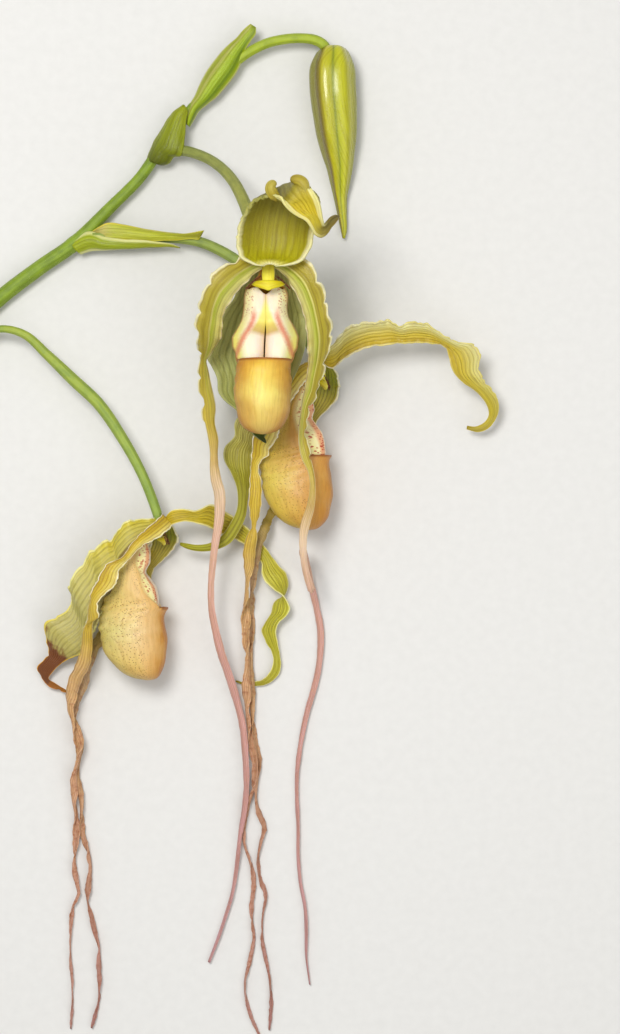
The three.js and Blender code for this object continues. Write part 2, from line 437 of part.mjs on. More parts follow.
function lip(flower) {
  const points = [];
  const faces = [];
  const rowsOf = (inset) => {
    const first = points.length;
    const deepest = LIP_PROFILE.at(-1)[0] - inset;
    for (let row = 0; row < LIP_ROWS; row += 1) {
      for (let k = 0; k < LIP_SIDES; k += 1) {
        const angle = (2 * Math.PI * (k + 0.5)) / LIP_SIDES - Math.PI;
        const rise = row / (LIP_ROWS - 1);
        const down = deepest - (deepest - rimDown(angle)) * rise ** ROW_SPREAD;
        const [, back, front, half] = profileAt(down);
        const middle = (back + front) / 2;
        const deep = (front - back) / 2 - inset;
        points.push(placeIn(
          flower,
          (half - inset) * Math.sin(angle),
          middle + deep * Math.cos(angle),
          down,
        ));
      }
    }
    points.push(placeIn(flower, 0, TOE_FORWARD, TOE - inset));
    return first;
  };
  const outer = rowsOf(0);
  const inner = rowsOf(LIP_WALL);
  const cell = (first, row, k) => first + row * LIP_SIDES + (k % LIP_SIDES);
  const toe = (first) => first + LIP_ROWS * LIP_SIDES;
  for (let k = 0; k < LIP_SIDES; k += 1) {
    for (let row = 0; row + 1 < LIP_ROWS; row += 1) {
      const [a, b] = [cell(outer, row, k), cell(outer, row, k + 1)];
      const [c, d] = [cell(inner, row, k), cell(inner, row, k + 1)];
      faces.push([a, b, b + LIP_SIDES], [a, b + LIP_SIDES, a + LIP_SIDES]);
      faces.push([c, d + LIP_SIDES, d], [c, c + LIP_SIDES, d + LIP_SIDES]);
    }
    const rim = LIP_ROWS - 1;
    const [a, b] = [cell(outer, rim, k), cell(outer, rim, k + 1)];
    const [c, d] = [cell(inner, rim, k), cell(inner, rim, k + 1)];
    faces.push([a, b, d], [a, d, c]);
    faces.push([toe(outer), cell(outer, 0, k + 1), cell(outer, 0, k)]);
    faces.push([toe(inner), cell(inner, 0, k), cell(inner, 0, k + 1)]);
  }
  return solidFrom(points, faces);
}

// --- the column with its shield ------------------------------------------------------------------
// Across is nought; forward, down, half width and half thickness of the column in its flower.
const COLUMN = [
  [0.5, 0.4, 1.2, 1], [6, 2, 2.1, 1.7], [9, 5.4, 3.6, 1.6], [9.6, 8.4, 6.6, 1],
  [8.6, 10.6, 4, 0.8], [7.6, 12.6, 1, 0.6],
];
for (const [key, flower] of Object.entries(FLOWERS)) {
  add(`lip_${key}`, 'lip', lip(flower));
  const stations = COLUMN.map(([forward, down, ...sizes]) => {
    return [...placeIn(flower, 0, forward, down).toArray(), ...sizes];
  });
  add(`column_${key}`, 'column', rod(stations, new THREE.Vector3(...flower.forward), COLUMN_ROUND));
}

export default group;
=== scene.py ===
# %% [markdown]
# # A cut stem of a long-petalled slipper orchid
#
# The object is one flowering stem, cut and laid on a table: a hairy green stem with four bracts, one
# bud and three open flowers. Each flower has an upper sepal, a lower sepal, two petals that end in long
# tails, a pouch-shaped lip and a yellow column. The frame holds the plain solid of each piece. Here each
# one is replaced by a modelled mesh with the finish of a living plant, in the same place.

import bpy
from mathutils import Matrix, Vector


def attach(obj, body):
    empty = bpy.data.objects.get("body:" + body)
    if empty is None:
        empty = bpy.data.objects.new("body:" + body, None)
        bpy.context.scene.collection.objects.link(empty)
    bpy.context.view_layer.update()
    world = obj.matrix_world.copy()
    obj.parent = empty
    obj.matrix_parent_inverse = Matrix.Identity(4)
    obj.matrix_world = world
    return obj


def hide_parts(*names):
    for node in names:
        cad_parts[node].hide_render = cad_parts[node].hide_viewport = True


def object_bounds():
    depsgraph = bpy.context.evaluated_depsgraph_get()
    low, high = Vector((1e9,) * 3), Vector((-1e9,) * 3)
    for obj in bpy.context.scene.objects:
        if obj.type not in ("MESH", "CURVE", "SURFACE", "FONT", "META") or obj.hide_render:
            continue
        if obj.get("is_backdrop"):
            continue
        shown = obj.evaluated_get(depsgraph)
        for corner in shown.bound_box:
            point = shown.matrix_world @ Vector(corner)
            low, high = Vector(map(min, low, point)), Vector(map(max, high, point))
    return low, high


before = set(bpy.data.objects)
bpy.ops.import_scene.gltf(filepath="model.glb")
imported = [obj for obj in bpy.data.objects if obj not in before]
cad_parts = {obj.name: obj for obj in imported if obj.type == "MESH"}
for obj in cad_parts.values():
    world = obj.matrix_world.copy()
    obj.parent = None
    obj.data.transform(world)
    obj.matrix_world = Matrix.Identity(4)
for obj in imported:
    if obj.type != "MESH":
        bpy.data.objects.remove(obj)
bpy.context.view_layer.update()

# %% [markdown]
# ## Measures
#
# A plant is easiest to describe in millimetres, from a point between its flowers. Blender works in
# metres, and the frame has its origin under the middle of the whole stem. One small function turns a
# list of millimetre points into places in the frame, so that no other step has to think about it.

# %% Millimetres to the frame
import math

import bmesh
import bpy
import numpy as np
from mathutils import Vector

MM = 0.001
ORIGIN = np.array([-59.8, -6.4, 0.1])
UP = np.array([0.0, 0.0, 1.0])


def in_frame(points):
    """Millimetre points as metres in the frame."""
    return (np.asarray(points, float) - ORIGIN) * MM


print("the flowers' own zero lies at", in_frame([0, 0, 0]))

# %% [markdown]
# ## Camera, floor and light
#
# The stem lies flat, so the camera looks straight down on it. A long lens keeps the shapes free of
# distortion: its length follows from the sensor, the distance and the height that the picture covers.
# The floor is plain and pale. Thin petals look flat in hard light, so the light, set below, is soft.

# %% Camera
CAMERA_HEIGHT = 1200
FLOWER_HEIGHT = 20
PICTURE_HEIGHT = 434.28
SENSOR = 36

scene = bpy.context.scene
lens = bpy.data.cameras.new("camera")
lens.sensor_width = SENSOR
lens.lens = SENSOR * (CAMERA_HEIGHT - FLOWER_HEIGHT) / PICTURE_HEIGHT
lens.clip_start = 0.05
camera = bpy.data.objects.new("camera", lens)
camera.location = in_frame([0, 0, CAMERA_HEIGHT])
scene.collection.objects.link(camera)
scene.camera = camera
print("lens, millimetres:", round(lens.lens, 1))

# %% [markdown]
# ## One way to add a node
#
# Every finish is a small network of nodes. A single helper adds a node, sets its own fields, and fills
# each input either with a value or with a link. A colour ramp's stops are one of those fields. Colours
# are written as the hex values that a screen shows, and one function turns them into linear light.

# %% Nodes and colours
def linear(hex_colour):
    """A screen colour such as #C8B464 as linear red, green, blue and alpha."""
    shares = [int(hex_colour[i:i + 2], 16) / 255 for i in (1, 3, 5)]
    return [s / 12.92 if s <= 0.04045 else ((s + 0.055) / 1.055) ** 2.4 for s in shares] + [1.0]


def add_node(tree, kind, inputs=None, stops=None, **fields):
    """Adds one node to a tree. Its kind is Blender's name for it without ShaderNode in front. An input
    is a value, a socket that feeds it, or a node, of which the first output is taken."""
    made = tree.nodes.new("ShaderNode" + kind)
    for field, value in fields.items():
        setattr(made, field, value)
    for name, value in (inputs or {}).items():
        if isinstance(value, bpy.types.Node):
            value = value.outputs[0]
        if isinstance(value, bpy.types.NodeSocket):
            tree.links.new(value, made.inputs[name])
        else:
            made.inputs[name].default_value = value
    if stops:
        elements = made.color_ramp.elements
        for place, colour in stops[1:-1]:
            elements.new(place).color = linear(colour)
        for element, (place, colour) in zip((elements[0], elements[-1]), (stops[0], stops[-1])):
            element.position = place
            element.color = linear(colour)
    return made


def new_finish(name):
    """A material with only its shader, ready for a network."""
    material = bpy.data.materials.new(name)
    material.use_nodes = True
    return material, material.node_tree, material.node_tree.nodes["Principled BSDF"]


def let_light_in(shader, refraction, weight, radius, scale):
    """Light enters a plant's tissue and leaves it a little further on. Scale is in metres."""
    shader.inputs["IOR"].default_value = refraction
    shader.inputs["Subsurface Weight"].default_value = weight
    shader.inputs["Subsurface Radius"].default_value = radius
    shader.inputs["Subsurface Scale"].default_value = scale


# %% [markdown]
# The floor is matt paper on a studio table. Paper scatters light evenly, so it is rough, and a very
# faint fibre pattern keeps it from looking like a flat colour.

# %% Floor
FLOOR_SIDE = 30.0       # metres, so that a low view doesn't reach its end
FLOOR_DROP = 0.0003     # metres, which keeps it clear of the skins that lie on it
PAPER_FIBRE = 0.004     # metres

material, tree, shader = new_finish("studio_paper")
place = add_node(tree, "TexCoord")
fibre = add_node(tree, "TexNoise", {"Vector": place.outputs["Object"], "Scale": 1 / PAPER_FIBRE})
tone = add_node(tree, "ValToRGB", {"Fac": fibre}, [(0, "#DAD8D3"), (1, "#E2E0DB")])
tree.links.new(tone.outputs["Color"], shader.inputs["Base Color"])
shader.inputs["Roughness"].default_value = 0.9

half_side = FLOOR_SIDE / 2
floor_mesh = bpy.data.meshes.new("floor")
floor_mesh.from_pydata(
    [
        (-half_side, -half_side, 0), (half_side, -half_side, 0), (half_side, half_side, 0),
        (-half_side, half_side, 0)
    ],
    [], [(0, 1, 2, 3)],
)
floor_mesh.materials.append(material)
floor = bpy.data.objects.new("floor", floor_mesh)
floor.location.z = -FLOOR_DROP
scene.collection.objects.link(floor)
floor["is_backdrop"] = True

# %% [markdown]
# ## Light
#
# Plain soft light, as in a small studio: one panel above to the left, a weaker and wider one opposite,
# and an even pale sky that keeps the shadows open. The key panel is the smaller one. A smaller panel
# mirrors as a smaller and brighter spot, so the waxy parts of the flower look waxy.

# %% Lights
SKY_STRENGTH = 0.52
PANELS = [      # name, place, side, watts
    ("key_panel", (-250, 300, 1050), 0.36, 8.0),
    ("fill_panel", (450, -350, 900), 0.9, 2.6),
]
for name, spot, side, watts in PANELS:
    panel = bpy.data.lights.new(name, "AREA")
    panel.size = side
    panel.energy = watts
    lamp = bpy.data.objects.new(name, panel)
    lamp.location = in_frame(spot)
    aim = -lamp.location.copy()
    lamp.rotation_euler = aim.to_track_quat("-Z", "Y").to_euler()
    scene.collection.objects.link(lamp)

world = bpy.data.worlds.new("studio")
world.use_nodes = True
sky = world.node_tree.nodes["Background"]
sky.inputs["Color"].default_value = linear("#F2F4F7")
sky.inputs["Strength"].default_value = SKY_STRENGTH
scene.world = world
scene.view_settings.view_transform = "Standard"
print("panels:", [p[0] for p in PANELS])

# %% [markdown]
# ## Growing a shape along a line
#
# Stems, petals and sepals all have a long run, and something across it. So each one is a short list of
# stations: a place, and the size and turn of the piece there. A curve through the stations
# gives many close rows. The centripetal kind of Catmull-Rom curve is used, because it passes through
# every station and never loops between two that lie close together.

# %% Smooth run
def smooth_run(stations, step, places=None):
    """Rows of numbers on a smooth curve through stations, about step mm apart. The places
    that are measured are the first three numbers, unless others are given."""
    rows = np.array(stations, float)
    ends = np.vstack([2 * rows[0] - rows[1], rows, 2 * rows[-1] - rows[-2]])
    spots = rows[:, :3] if places is None else np.asarray(places, float)
    spots = np.vstack([2 * spots[0] - spots[1], spots, 2 * spots[-1] - spots[-2]])
    gaps = np.linalg.norm(np.diff(spots, axis=0), axis=1)
    knots = np.concatenate([[0], np.cumsum(np.sqrt(gaps))])

    def between(t, i, j, low, high):
        return (low * (knots[j] - t) + high * (t - knots[i])) / (knots[j] - knots[i])

    made = []
    for i in range(1, len(rows)):
        count = max(1, round(gaps[i] / step))
        for t in np.linspace(knots[i], knots[i + 1], count, endpoint=False):
            a = between(t, i - 1, i, ends[i - 1], ends[i])
            b = between(t, i, i + 1, ends[i], ends[i + 1])
            c = between(t, i + 1, i + 2, ends[i + 1], ends[i + 2])
            ab = between(t, i - 1, i + 1, a, b)
            bc = between(t, i, i + 2, b, c)
            made.append(between(t, i, i + 1, ab, bc))
    return np.array(made + [rows[-1]])


def axes_along(rows, face, roll):
    """The face side and the sideways direction at each row, and the length run so far."""
    tangent = np.gradient(rows[:, :3], axis=0)
    tangent /= np.linalg.norm(tangent, axis=1, keepdims=True)
    normal = face - tangent * (tangent @ face)[:, None]
    normal /= np.linalg.norm(normal, axis=1, keepdims=True)
    side = np.cross(normal, tangent)
    turn = np.radians(roll)[:, None]
    turned = normal * np.cos(turn) - side * np.sin(turn)
    steps = np.linalg.norm(np.diff(rows[:, :3], axis=0), axis=1)
    return turned, np.cross(turned, tangent), np.concatenate([[0], np.cumsum(steps)])


def wobble(distance, wavelength, seed):
    """A smooth irregular wave along a length, mostly between -1 and 1."""
    phases = np.random.default_rng(seed).uniform(0, 2 * math.pi, 3)
    lengths = wavelength * np.array([1.0, 1.37, 0.61])
    return sum(np.sin(2 * math.pi * distance / w + p) for w, p in zip(lengths, phases)) / 2


print("a run of two stations 10 mm apart:", smooth_run([[0, 0, 0], [10, 0, 0]], 2.5)[:, 0])

# %% [markdown]
# ## From rings to a mesh
#
# Each row becomes a ring of points, and neighbouring rings are joined by four-sided faces. A strip of
# faces closes each end. Two sets of numbers stay with every point, because the finishes need them:
# `run` says how far across and along the piece the point lies, so that a vein can follow the petal
# wherever it bends, and `flat` gives its place in millimetres on the flattened piece, for patterns of
# a real size.

# %% Mesh from rings
def skin_faces(count, size):
    """Faces that join rings of the same size and close both ends with strips."""
    faces = []
    for i in range(count - 1):
        for j in range(size):
            a, b = i * size + j, i * size + (j + 1) % size
            faces.append((a, b, b + size, a + size))
    last = (count - 1) * size
    for j in range(size // 2 - 1):
        k = size - 1 - j
        faces.append((j, k, k - 1, j + 1))
        faces.append((last + j, last + j + 1, last + k - 1, last + k))
    return faces


def mesh_piece(name, points, faces, run, flat):
    """An object of its own from millimetre points. A closed skin is turned to face outward."""
    points = in_frame(points).reshape(-1, 3)
    mesh = bpy.data.meshes.new(name)
    mesh.from_pydata(points, [], faces)
    corners = np.array([f[:3] for f in faces])
    a, b, c = points[corners[:, 0]], points[corners[:, 1]], points[corners[:, 2]]
    if np.sum(a * np.cross(b, c)) < 0:
        mesh.flip_normals()
    for label, values in (("run", run), ("flat", flat)):
        layer = mesh.attributes.new(label, "FLOAT_VECTOR", "POINT")
        layer.data.foreach_set("vector", np.asarray(values, np.float32).ravel())
    mesh.polygons.foreach_set("use_smooth", [True] * len(mesh.polygons))
    made = bpy.data.objects.new(name, mesh)
    scene.collection.objects.link(made)
    return made


def take_place(piece, node, finish):
    """The piece stands for a node of the frame and wears a finish."""
    piece.data.materials.append(finish)
    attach(piece, "root")
    if node:
        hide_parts(node)
    return piece


# %% [markdown]
# ## Stalks
#
# A flower stalk is a living green rod, a little wider than thick, with shallow ribs along its length.
# It could be a bevelled curve, but a ring of points gives the ribs and the slow change of thickness at
# once. The rod's ring is closed, so its `run` goes once around.

# %% Rod
def rod(name, stations, face=UP, sides=36, step=1.2, ribs=6, rib_depth=0.03, knots=()):
    """A closed rod. Stations: x, y, z, half width, half thickness."""
    rows = smooth_run([list(s) + [s[3]] * (5 - len(s)) for s in stations], step)
    normal, side, length = axes_along(rows, np.asarray(face, float), np.zeros(len(rows)))
    angle = 2 * math.pi * (np.arange(sides) + 0.5) / sides
    swell = 1 + rib_depth * np.cos(ribs * angle)[None, :]
    for at, wide, more in knots:
        swell = swell * (1 + more * np.exp(-((length - at) / wide) ** 2))[:, None]
    out = rows[:, 3, None] * np.cos(angle) * swell
    lift = rows[:, 4, None] * np.sin(angle) * swell
    points = rows[:, None, :3] + side[:, None] * out[..., None] + normal[:, None] * lift[..., None]
    share = length / length[-1]
    around = np.broadcast_to(angle / math.pi - 1, out.shape)
    run = np.stack([around, np.broadcast_to(share[:, None], out.shape), np.zeros(out.shape)], 2)
    flat = np.stack([
        around * rows[:, 3, None] * math.pi,
        np.broadcast_to(length[:, None], out.shape),
        np.zeros(out.shape),
    ], 2)
    piece = mesh_piece(name, points, skin_faces(len(rows), sides), run, flat)
    return piece, rows, normal, side


# %% [markdown]
# ## Leaves between two edges
#
# Petals and sepals are thin leaves, and their outline is what one knows them by: a petal narrows,
# folds and turns over before its tail begins. So the stations of the broad part hold both edges, with a
# height for the middle. Where an edge crosses the other one, the leaf turns over. On the narrow tail a
# station holds the centre, the half width and a turn, which is shorter. The leaf has a front and a back
# skin, thinner towards the margins as in the real flower. Its veins are shallow ridges in the mesh, and
# the margins ruffle in an irregular wave. A dry tail gets a crinkle: it turns, narrows and frays.

# %% Leaf
TAIL_REST = 0.5         # the least height of a tail's lower edge over the floor
LEAF_THICKNESS = 0.7    # in the middle, with less at the margins
LEAF_RIBS = 9           # shallow ridges from the middle to a margin


def tail_edges(stations, step, crinkle, turns, seed):
    """Edge rows of a tail from x, y, z, half width, roll and the height of the middle."""
    rows = smooth_run(stations, step)
    share = np.linspace(0, 1, len(rows))
    rough = np.interp(share, *zip(*crinkle))
    along = np.arange(len(rows)) * step
    roll = rows[:, 4] + np.interp(share, *zip(*turns)) + 60 * rough * wobble(along, 19, seed + 5)
    _, side, _ = axes_along(rows, UP, roll)
    half = np.maximum(rows[:, 3], 0.3) * (1 + 0.3 * rough * wobble(along, 7.5, seed + 6))
    reach = side * half[:, None]
    rows[:, 2] = np.maximum(rows[:, 2], np.abs(reach[:, 2]) + TAIL_REST)
    return np.hstack([rows[:, :3] - reach, rows[:, :3] + reach, rows[:, 5:6], np.full((len(rows), 1), 99.0)])


def leaf(name, stations, cells=24, step=1.2, ruffle=None, ruffle_length=6, scallop=(0, 0), rib_height=0.07,
         crinkle=None, turns=None, bead=0.0, mould=None, seed=1):
    """A thin leaf. Stations: both edges and the height of the middle, then those of the tail.
    Ruffle is pairs of share and height in mm, scallop the depth of both edges' lobes in mm."""
    blade = [[*s, number] for number, s in enumerate(stations) if len(s) == 7]
    tail = [s for s in stations if len(s) == 6]
    still = [(0, 0), (1, 0)]
    if tail:
        narrow = tail_edges(tail, step, crinkle or still, turns or still, seed)
        narrow[:, 7] = len(blade)
        blade.append(list(narrow[0]))
    middles = [[(a + b) / 2 for a, b in zip(s[:3], s[3:6])] for s in blade]
    rows = smooth_run(blade, step, middles)
    if tail:
        rows = np.vstack([rows, narrow[1:]])
    left, right, bow, number = rows[:, :3], rows[:, 3:6], rows[:, 6], rows[:, 7]
    centre = (left + right) / 2
    length = np.concatenate([[0], np.cumsum(np.linalg.norm(np.diff(centre, axis=0), axis=1))])
    share = length / length[-1]
    width = np.linalg.norm(right - left, axis=1)
    side = (right - left) / width[:, None]
    tangent = np.gradient(centre, axis=0)
    normal = np.cross(tangent, side)
    normal /= np.linalg.norm(normal, axis=1, keepdims=True)
    u = np.linspace(-1, 1, cells + 1)
    edge = np.abs(u) ** 3
    rough = np.interp(number, [len(blade) - 1.001, len(blade) - 1], [0, 1]) if tail else np.zeros(len(rows))
    rough = rough * np.interp(share, *zip(*(crinkle or still)))
    small = np.minimum(1, width / 8)
    heights = np.interp(share, *zip(*(ruffle or still)))
    near, far = (wobble(length, ruffle_length, seed + k) for k in (1, 2))
    wave = np.where(u < 0, near[:, None], far[:, None])
    lift = bow[:, None] * (1 - u ** 2) + (heights * small)[:, None] * edge * wave
    lift = lift + rib_height * small[:, None] * np.cos(math.pi * LEAF_RIBS * u) * (1 - edge)
    lift = lift + rough[:, None] * 0.4 * edge * wobble(length, 4.3, seed + 8)[:, None]
    lobes = np.abs(np.sin(math.pi * length / ruffle_length + seed + 0.8 * near))[:, None] - 0.6
    depth = np.where(u < 0, scallop[0], scallop[1]) * np.sign(heights)[:, None]
    frayed = 0.3 * rough[:, None] * wobble(length, 2.6, seed + 9)[:, None]
    reach = np.sign(u) * edge * (depth * lobes + frayed)
    grid = left[:, None] * (1 - u[:, None]) / 2 + right[:, None] * (1 + u[:, None]) / 2
    grid = grid + normal[:, None] * lift[..., None] + side[:, None] * reach[..., None]
    if mould:
        grid = grid + mould(u[None, :], number[:, None])
    away = np.cross(np.gradient(grid, axis=0), np.gradient(grid, axis=1))
    away /= np.maximum(np.linalg.norm(away, axis=2, keepdims=True), 1e-9)
    rim = np.clip((np.abs(u) - 0.88) / 0.08, 0, 1)
    slender = np.minimum(1, 0.35 + width / 6)[:, None]
    thick = (LEAF_THICKNESS / 2 * (1 - 0.6 * u ** 4) + bead / 2 * rim) * slender
    front = grid + away * thick[..., None]
    back = grid - away * thick[..., None]
    points = np.concatenate([front, back[:, ::-1]], axis=1)
    across = np.broadcast_to(np.concatenate([u, u[::-1]]), points.shape[:2])
    faced = np.broadcast_to(np.concatenate([np.ones(len(u)), np.zeros(len(u))]), across.shape)
    run = np.stack([across, np.broadcast_to(share[:, None], across.shape), faced], 2)
    flat = np.stack([
        across * width[:, None] / 2, np.broadcast_to(length[:, None], across.shape), faced,
    ], 2)
    return mesh_piece(name, points, skin_faces(len(rows), points.shape[1]), run, flat)


# %% [markdown]
# ## Finish of petals and sepals
#
# Petal tissue is soft and full of water: light enters it and comes out a little further on, so the
# shader gets some subsurface scattering, an index of refraction of 1.4 and a medium roughness. Its
# colour changes from the base to the tip, and parallel veins run the whole length, closer together
# where the petal is narrow. The `run` numbers give both. A noise in real millimetres makes the streaks
# between the veins, and a very small cell pattern the faint sparkle of the skin.

# %% Tissue
VEIN_DRIFT = 25        # millimetres over which a vein wanders
STREAK_WIDTH = 0.8     # millimetres
STREAK_LENGTH = 16     # millimetres
CELL_WIDTH = 0.35      # millimetres
MOTTLE = 1.6           # millimetres between the brown flecks of a dry tail


def tissue(name, along, vein, margin, veins=9, vein_strength=0.5, margin_from=0.86, margin_strength=0.8,
           bands=None, bands_until=0.3, blotch=None, blotch_stops=None, blotch_side=0.0,
           roughness=(0.38, 0.55),
           rim_and_highlight_gain=0.0, margin_until=2.0, weather=None, weather_from=0.3, coat=0.0):
    """A veined petal finish. Along, bands and margin are ramp stops, the other colours hex values."""
    material, tree, shader = new_finish(name)
    run = add_node(tree, "Attribute", attribute_name="run")
    flat = add_node(tree, "Attribute", attribute_name="flat")
    parts = add_node(tree, "SeparateXYZ", {"Vector": run.outputs["Vector"]})
    across, share = parts.outputs["X"], parts.outputs["Y"]
    base = add_node(tree, "ValToRGB", {"Fac": share}, along)
    if bands:
        place = add_node(tree, "Math", {0: across, 1: 0.5, 2: 0.5}, operation="MULTIPLY_ADD")
        band = add_node(tree, "ValToRGB", {"Fac": place}, bands)
        fade = add_node(tree, "MapRange", {
            "Value": share, "From Min": bands_until * 0.6, "From Max": bands_until, "To Min": 1.0,
            "To Max": 0.0,
        })
        base = add_node(tree, "MixRGB", {"Fac": fade, "Color1": base, "Color2": band})
    drift = add_node(tree, "TexNoise", {"Vector": flat.outputs["Vector"], "Scale": 1 / VEIN_DRIFT})
    wander = add_node(tree, "Math", {0: drift, 1: 2.0}, operation="MULTIPLY")
    turn = add_node(tree, "Math", {0: across, 1: math.pi * veins, 2: wander}, operation="MULTIPLY_ADD")
    wave = add_node(tree, "Math", {0: turn}, operation="COSINE")
    line = add_node(tree, "MapRange", {
        "Value": wave, "From Min": 0.1, "From Max": 1.0, "To Min": 0.0, "To Max": vein_strength,
    })
    veined = add_node(tree, "MixRGB", {
        "Fac": line, "Color1": base, "Color2": linear(vein),
    }, blend_type="MULTIPLY")
    stretch = add_node(tree, "Mapping", {
        "Vector": flat.outputs["Vector"], "Scale": (1 / STREAK_WIDTH, 1 / STREAK_LENGTH, 1.0),
    })
    streak = add_node(tree, "TexNoise", {"Vector": stretch, "Scale": 1.0, "Detail": 3.0})
    light = add_node(tree, "ValToRGB", {"Fac": streak}, [
        (0.3, "#CFC9B0"), (0.5, "#F0EEE4"), (0.7, "#FFFFFF"),
    ])
    streaked = add_node(tree, "MixRGB", {
        "Fac": 0.7, "Color1": veined, "Color2": light,
    }, blend_type="MULTIPLY")
    colour = streaked
    if blotch:
        patch = add_node(
            tree, "TexNoise", {"Vector": flat.outputs["Vector"], "Scale": 1 / 6, "Detail": 4.0}
        )
        spread = add_node(tree, "ValToRGB", {"Fac": share}, blotch_stops)
        sided = add_node(tree, "Math", {0: across, 1: blotch_side, 2: patch}, operation="MULTIPLY_ADD")
        amount = add_node(tree, "Math", {0: spread, 1: sided}, operation="ADD")
        reach = add_node(tree, "MapRange", {"Value": amount, "From Min": 0.95, "From Max": 1.1})
        colour = add_node(tree, "MixRGB", {"Fac": reach, "Color1": colour, "Color2": linear(blotch)})
    mottle = add_node(
        tree, "TexNoise", {"Vector": flat.outputs["Vector"], "Scale": 1 / MOTTLE, "Detail": 3.0}
    )
    if weather:
        dry = add_node(tree, "MapRange", {
            "Value": share, "From Min": weather_from, "From Max": weather_from + 0.12, "To Min": 0.0,
            "To Max": 0.3,
        })
        wear = add_node(tree, "Math", {0: mottle, 1: dry}, operation="ADD")
        worn = add_node(tree, "MapRange", {
            "Value": wear, "From Min": 0.8, "From Max": 1.0, "To Min": 0.0, "To Max": 0.7,
        })
        colour = add_node(tree, "MixRGB", {"Fac": worn, "Color1": colour, "Color2": linear(weather)})
    # From share 0.48 to 0.56 the pale margin widens by this gain and stays wider after that. On the hood's
    # flap it is partly the pale margin and partly a painted highlight.
    widen = add_node(tree, "MapRange", {
        "Value": share, "From Min": 0.48, "From Max": 0.56, "To Min": 0.0, "To Max": rim_and_highlight_gain,
    })
    out = add_node(tree, "Math", {0: across}, operation="ABSOLUTE")
    wide = add_node(tree, "Math", {0: out, 1: widen}, operation="ADD")
    rim = add_node(tree, "MapRange", {
        "Value": wide, "From Min": margin_from, "From Max": 0.5 + margin_from / 2,
        "To Min": 0.0, "To Max": margin_strength,
    })
    end = add_node(tree, "MapRange", {
        "Value": share, "From Min": margin_until, "From Max": margin_until + 0.06, "To Min": 1.0,
        "To Max": 0.0,
    })
    kept = add_node(tree, "Math", {0: rim, 1: end}, operation="MULTIPLY")
    if isinstance(margin, str):
        margin = [(0, margin), (1, margin)]
    edging = add_node(tree, "ValToRGB", {"Fac": share}, margin)
    rimmed = add_node(tree, "MixRGB", {"Fac": kept, "Color1": colour, "Color2": edging})
    tree.links.new(rimmed.outputs["Color"], shader.inputs["Base Color"])
    cell = add_node(tree, "TexVoronoi", {"Vector": flat.outputs["Vector"], "Scale": 1 / CELL_WIDTH})
    relief = add_node(tree, "Math", {0: line, 1: -1.6, 2: cell}, operation="MULTIPLY_ADD")
    raised = add_node(tree, "Math", {0: streak, 1: 1.2, 2: relief}, operation="MULTIPLY_ADD")
    rippled = add_node(tree, "Math", {
        0: mottle, 1: 4.0 if weather else 1.5, 2: raised,
    }, operation="MULTIPLY_ADD")
    bump = add_node(tree, "Bump", {"Height": rippled, "Strength": 0.6, "Distance": 0.00016})
    tree.links.new(bump.outputs["Normal"], shader.inputs["Normal"])
    gloss = add_node(tree, "MapRange", {"Value": streak, "To Min": roughness[0], "To Max": roughness[1]})
    tree.links.new(gloss.outputs["Result"], shader.inputs["Roughness"])
    shader.inputs["Coat Weight"].default_value = coat
    shader.inputs["Coat Roughness"].default_value = 0.17
    let_light_in(shader, 1.4, 0.25, (1.0, 0.8, 0.3), 0.0012)
    return material


# %% [markdown]
# ## Finish of the stems
#
# The stem and the stalks are firm and green. Seen near, they have fine ribs along their length, darker
# and lighter blotches, and tiny pores. The ribs come from a noise that is stretched along the stem, the
# blotches from a larger even noise, and the pores from a cell pattern that only goes into the bump. Their
# colours change slowly from the lower end to the flower end.

# %% Finish of stems
STEM_RIB = 0.9         # millimetres between the fine ribs of a stem
PORE = 0.3             # millimetres


def stem_tissue(name, low, high, shade):
    """A green stem's skin: ribs along it, blotches of light and shade, and fine pores."""
    material, tree, shader = new_finish(name)
    run = add_node(tree, "Attribute", attribute_name="run")
    flat = add_node(tree, "Attribute", attribute_name="flat")
    parts = add_node(tree, "SeparateXYZ", {"Vector": run.outputs["Vector"]})
    base = add_node(tree, "ValToRGB", {"Fac": parts.outputs["Y"]}, [(0, low), (1, high)])
    stretch = add_node(tree, "Mapping", {
        "Vector": flat.outputs["Vector"], "Scale": (1 / STEM_RIB, 0.08, 1.0),
    })
    rib = add_node(tree, "TexNoise", {"Vector": stretch, "Scale": 1.0, "Detail": 4.0})
    pore = add_node(tree, "TexVoronoi", {"Vector": flat.outputs["Vector"], "Scale": 1 / PORE})
    mottle = add_node(tree, "TexNoise", {"Vector": flat.outputs["Vector"], "Scale": 1 / 5, "Detail": 3.0})
    amount = add_node(tree, "Math", {0: rib, 1: mottle}, operation="ADD")
    reach = add_node(tree, "MapRange", {
        "Value": amount, "From Min": 0.85, "From Max": 1.2, "To Min": 0.0, "To Max": 0.6,
    })
    shaded = add_node(tree, "MixRGB", {"Fac": reach, "Color1": base, "Color2": linear(shade)})
    tree.links.new(shaded.outputs["Color"], shader.inputs["Base Color"])
    height = add_node(tree, "Math", {0: rib, 1: 3.0, 2: pore}, operation="MULTIPLY_ADD")
    bump = add_node(tree, "Bump", {"Height": height, "Strength": 0.6, "Distance": 0.0001})
    tree.links.new(bump.outputs["Normal"], shader.inputs["Normal"])
    shader.inputs["Roughness"].default_value = 0.5
    let_light_in(shader, 1.42, 0.15, (1.0, 1.0, 0.3), 0.001)
    return material


# %% [markdown]
# ## The stem
#
# The flowering stem is a round, slightly ribbed rod, 6.8 mm thick where it was cut and thinner at its
# tip, and it lies on the surface. Where the two lower bracts sit, it has a low ring, a knot of the rod.

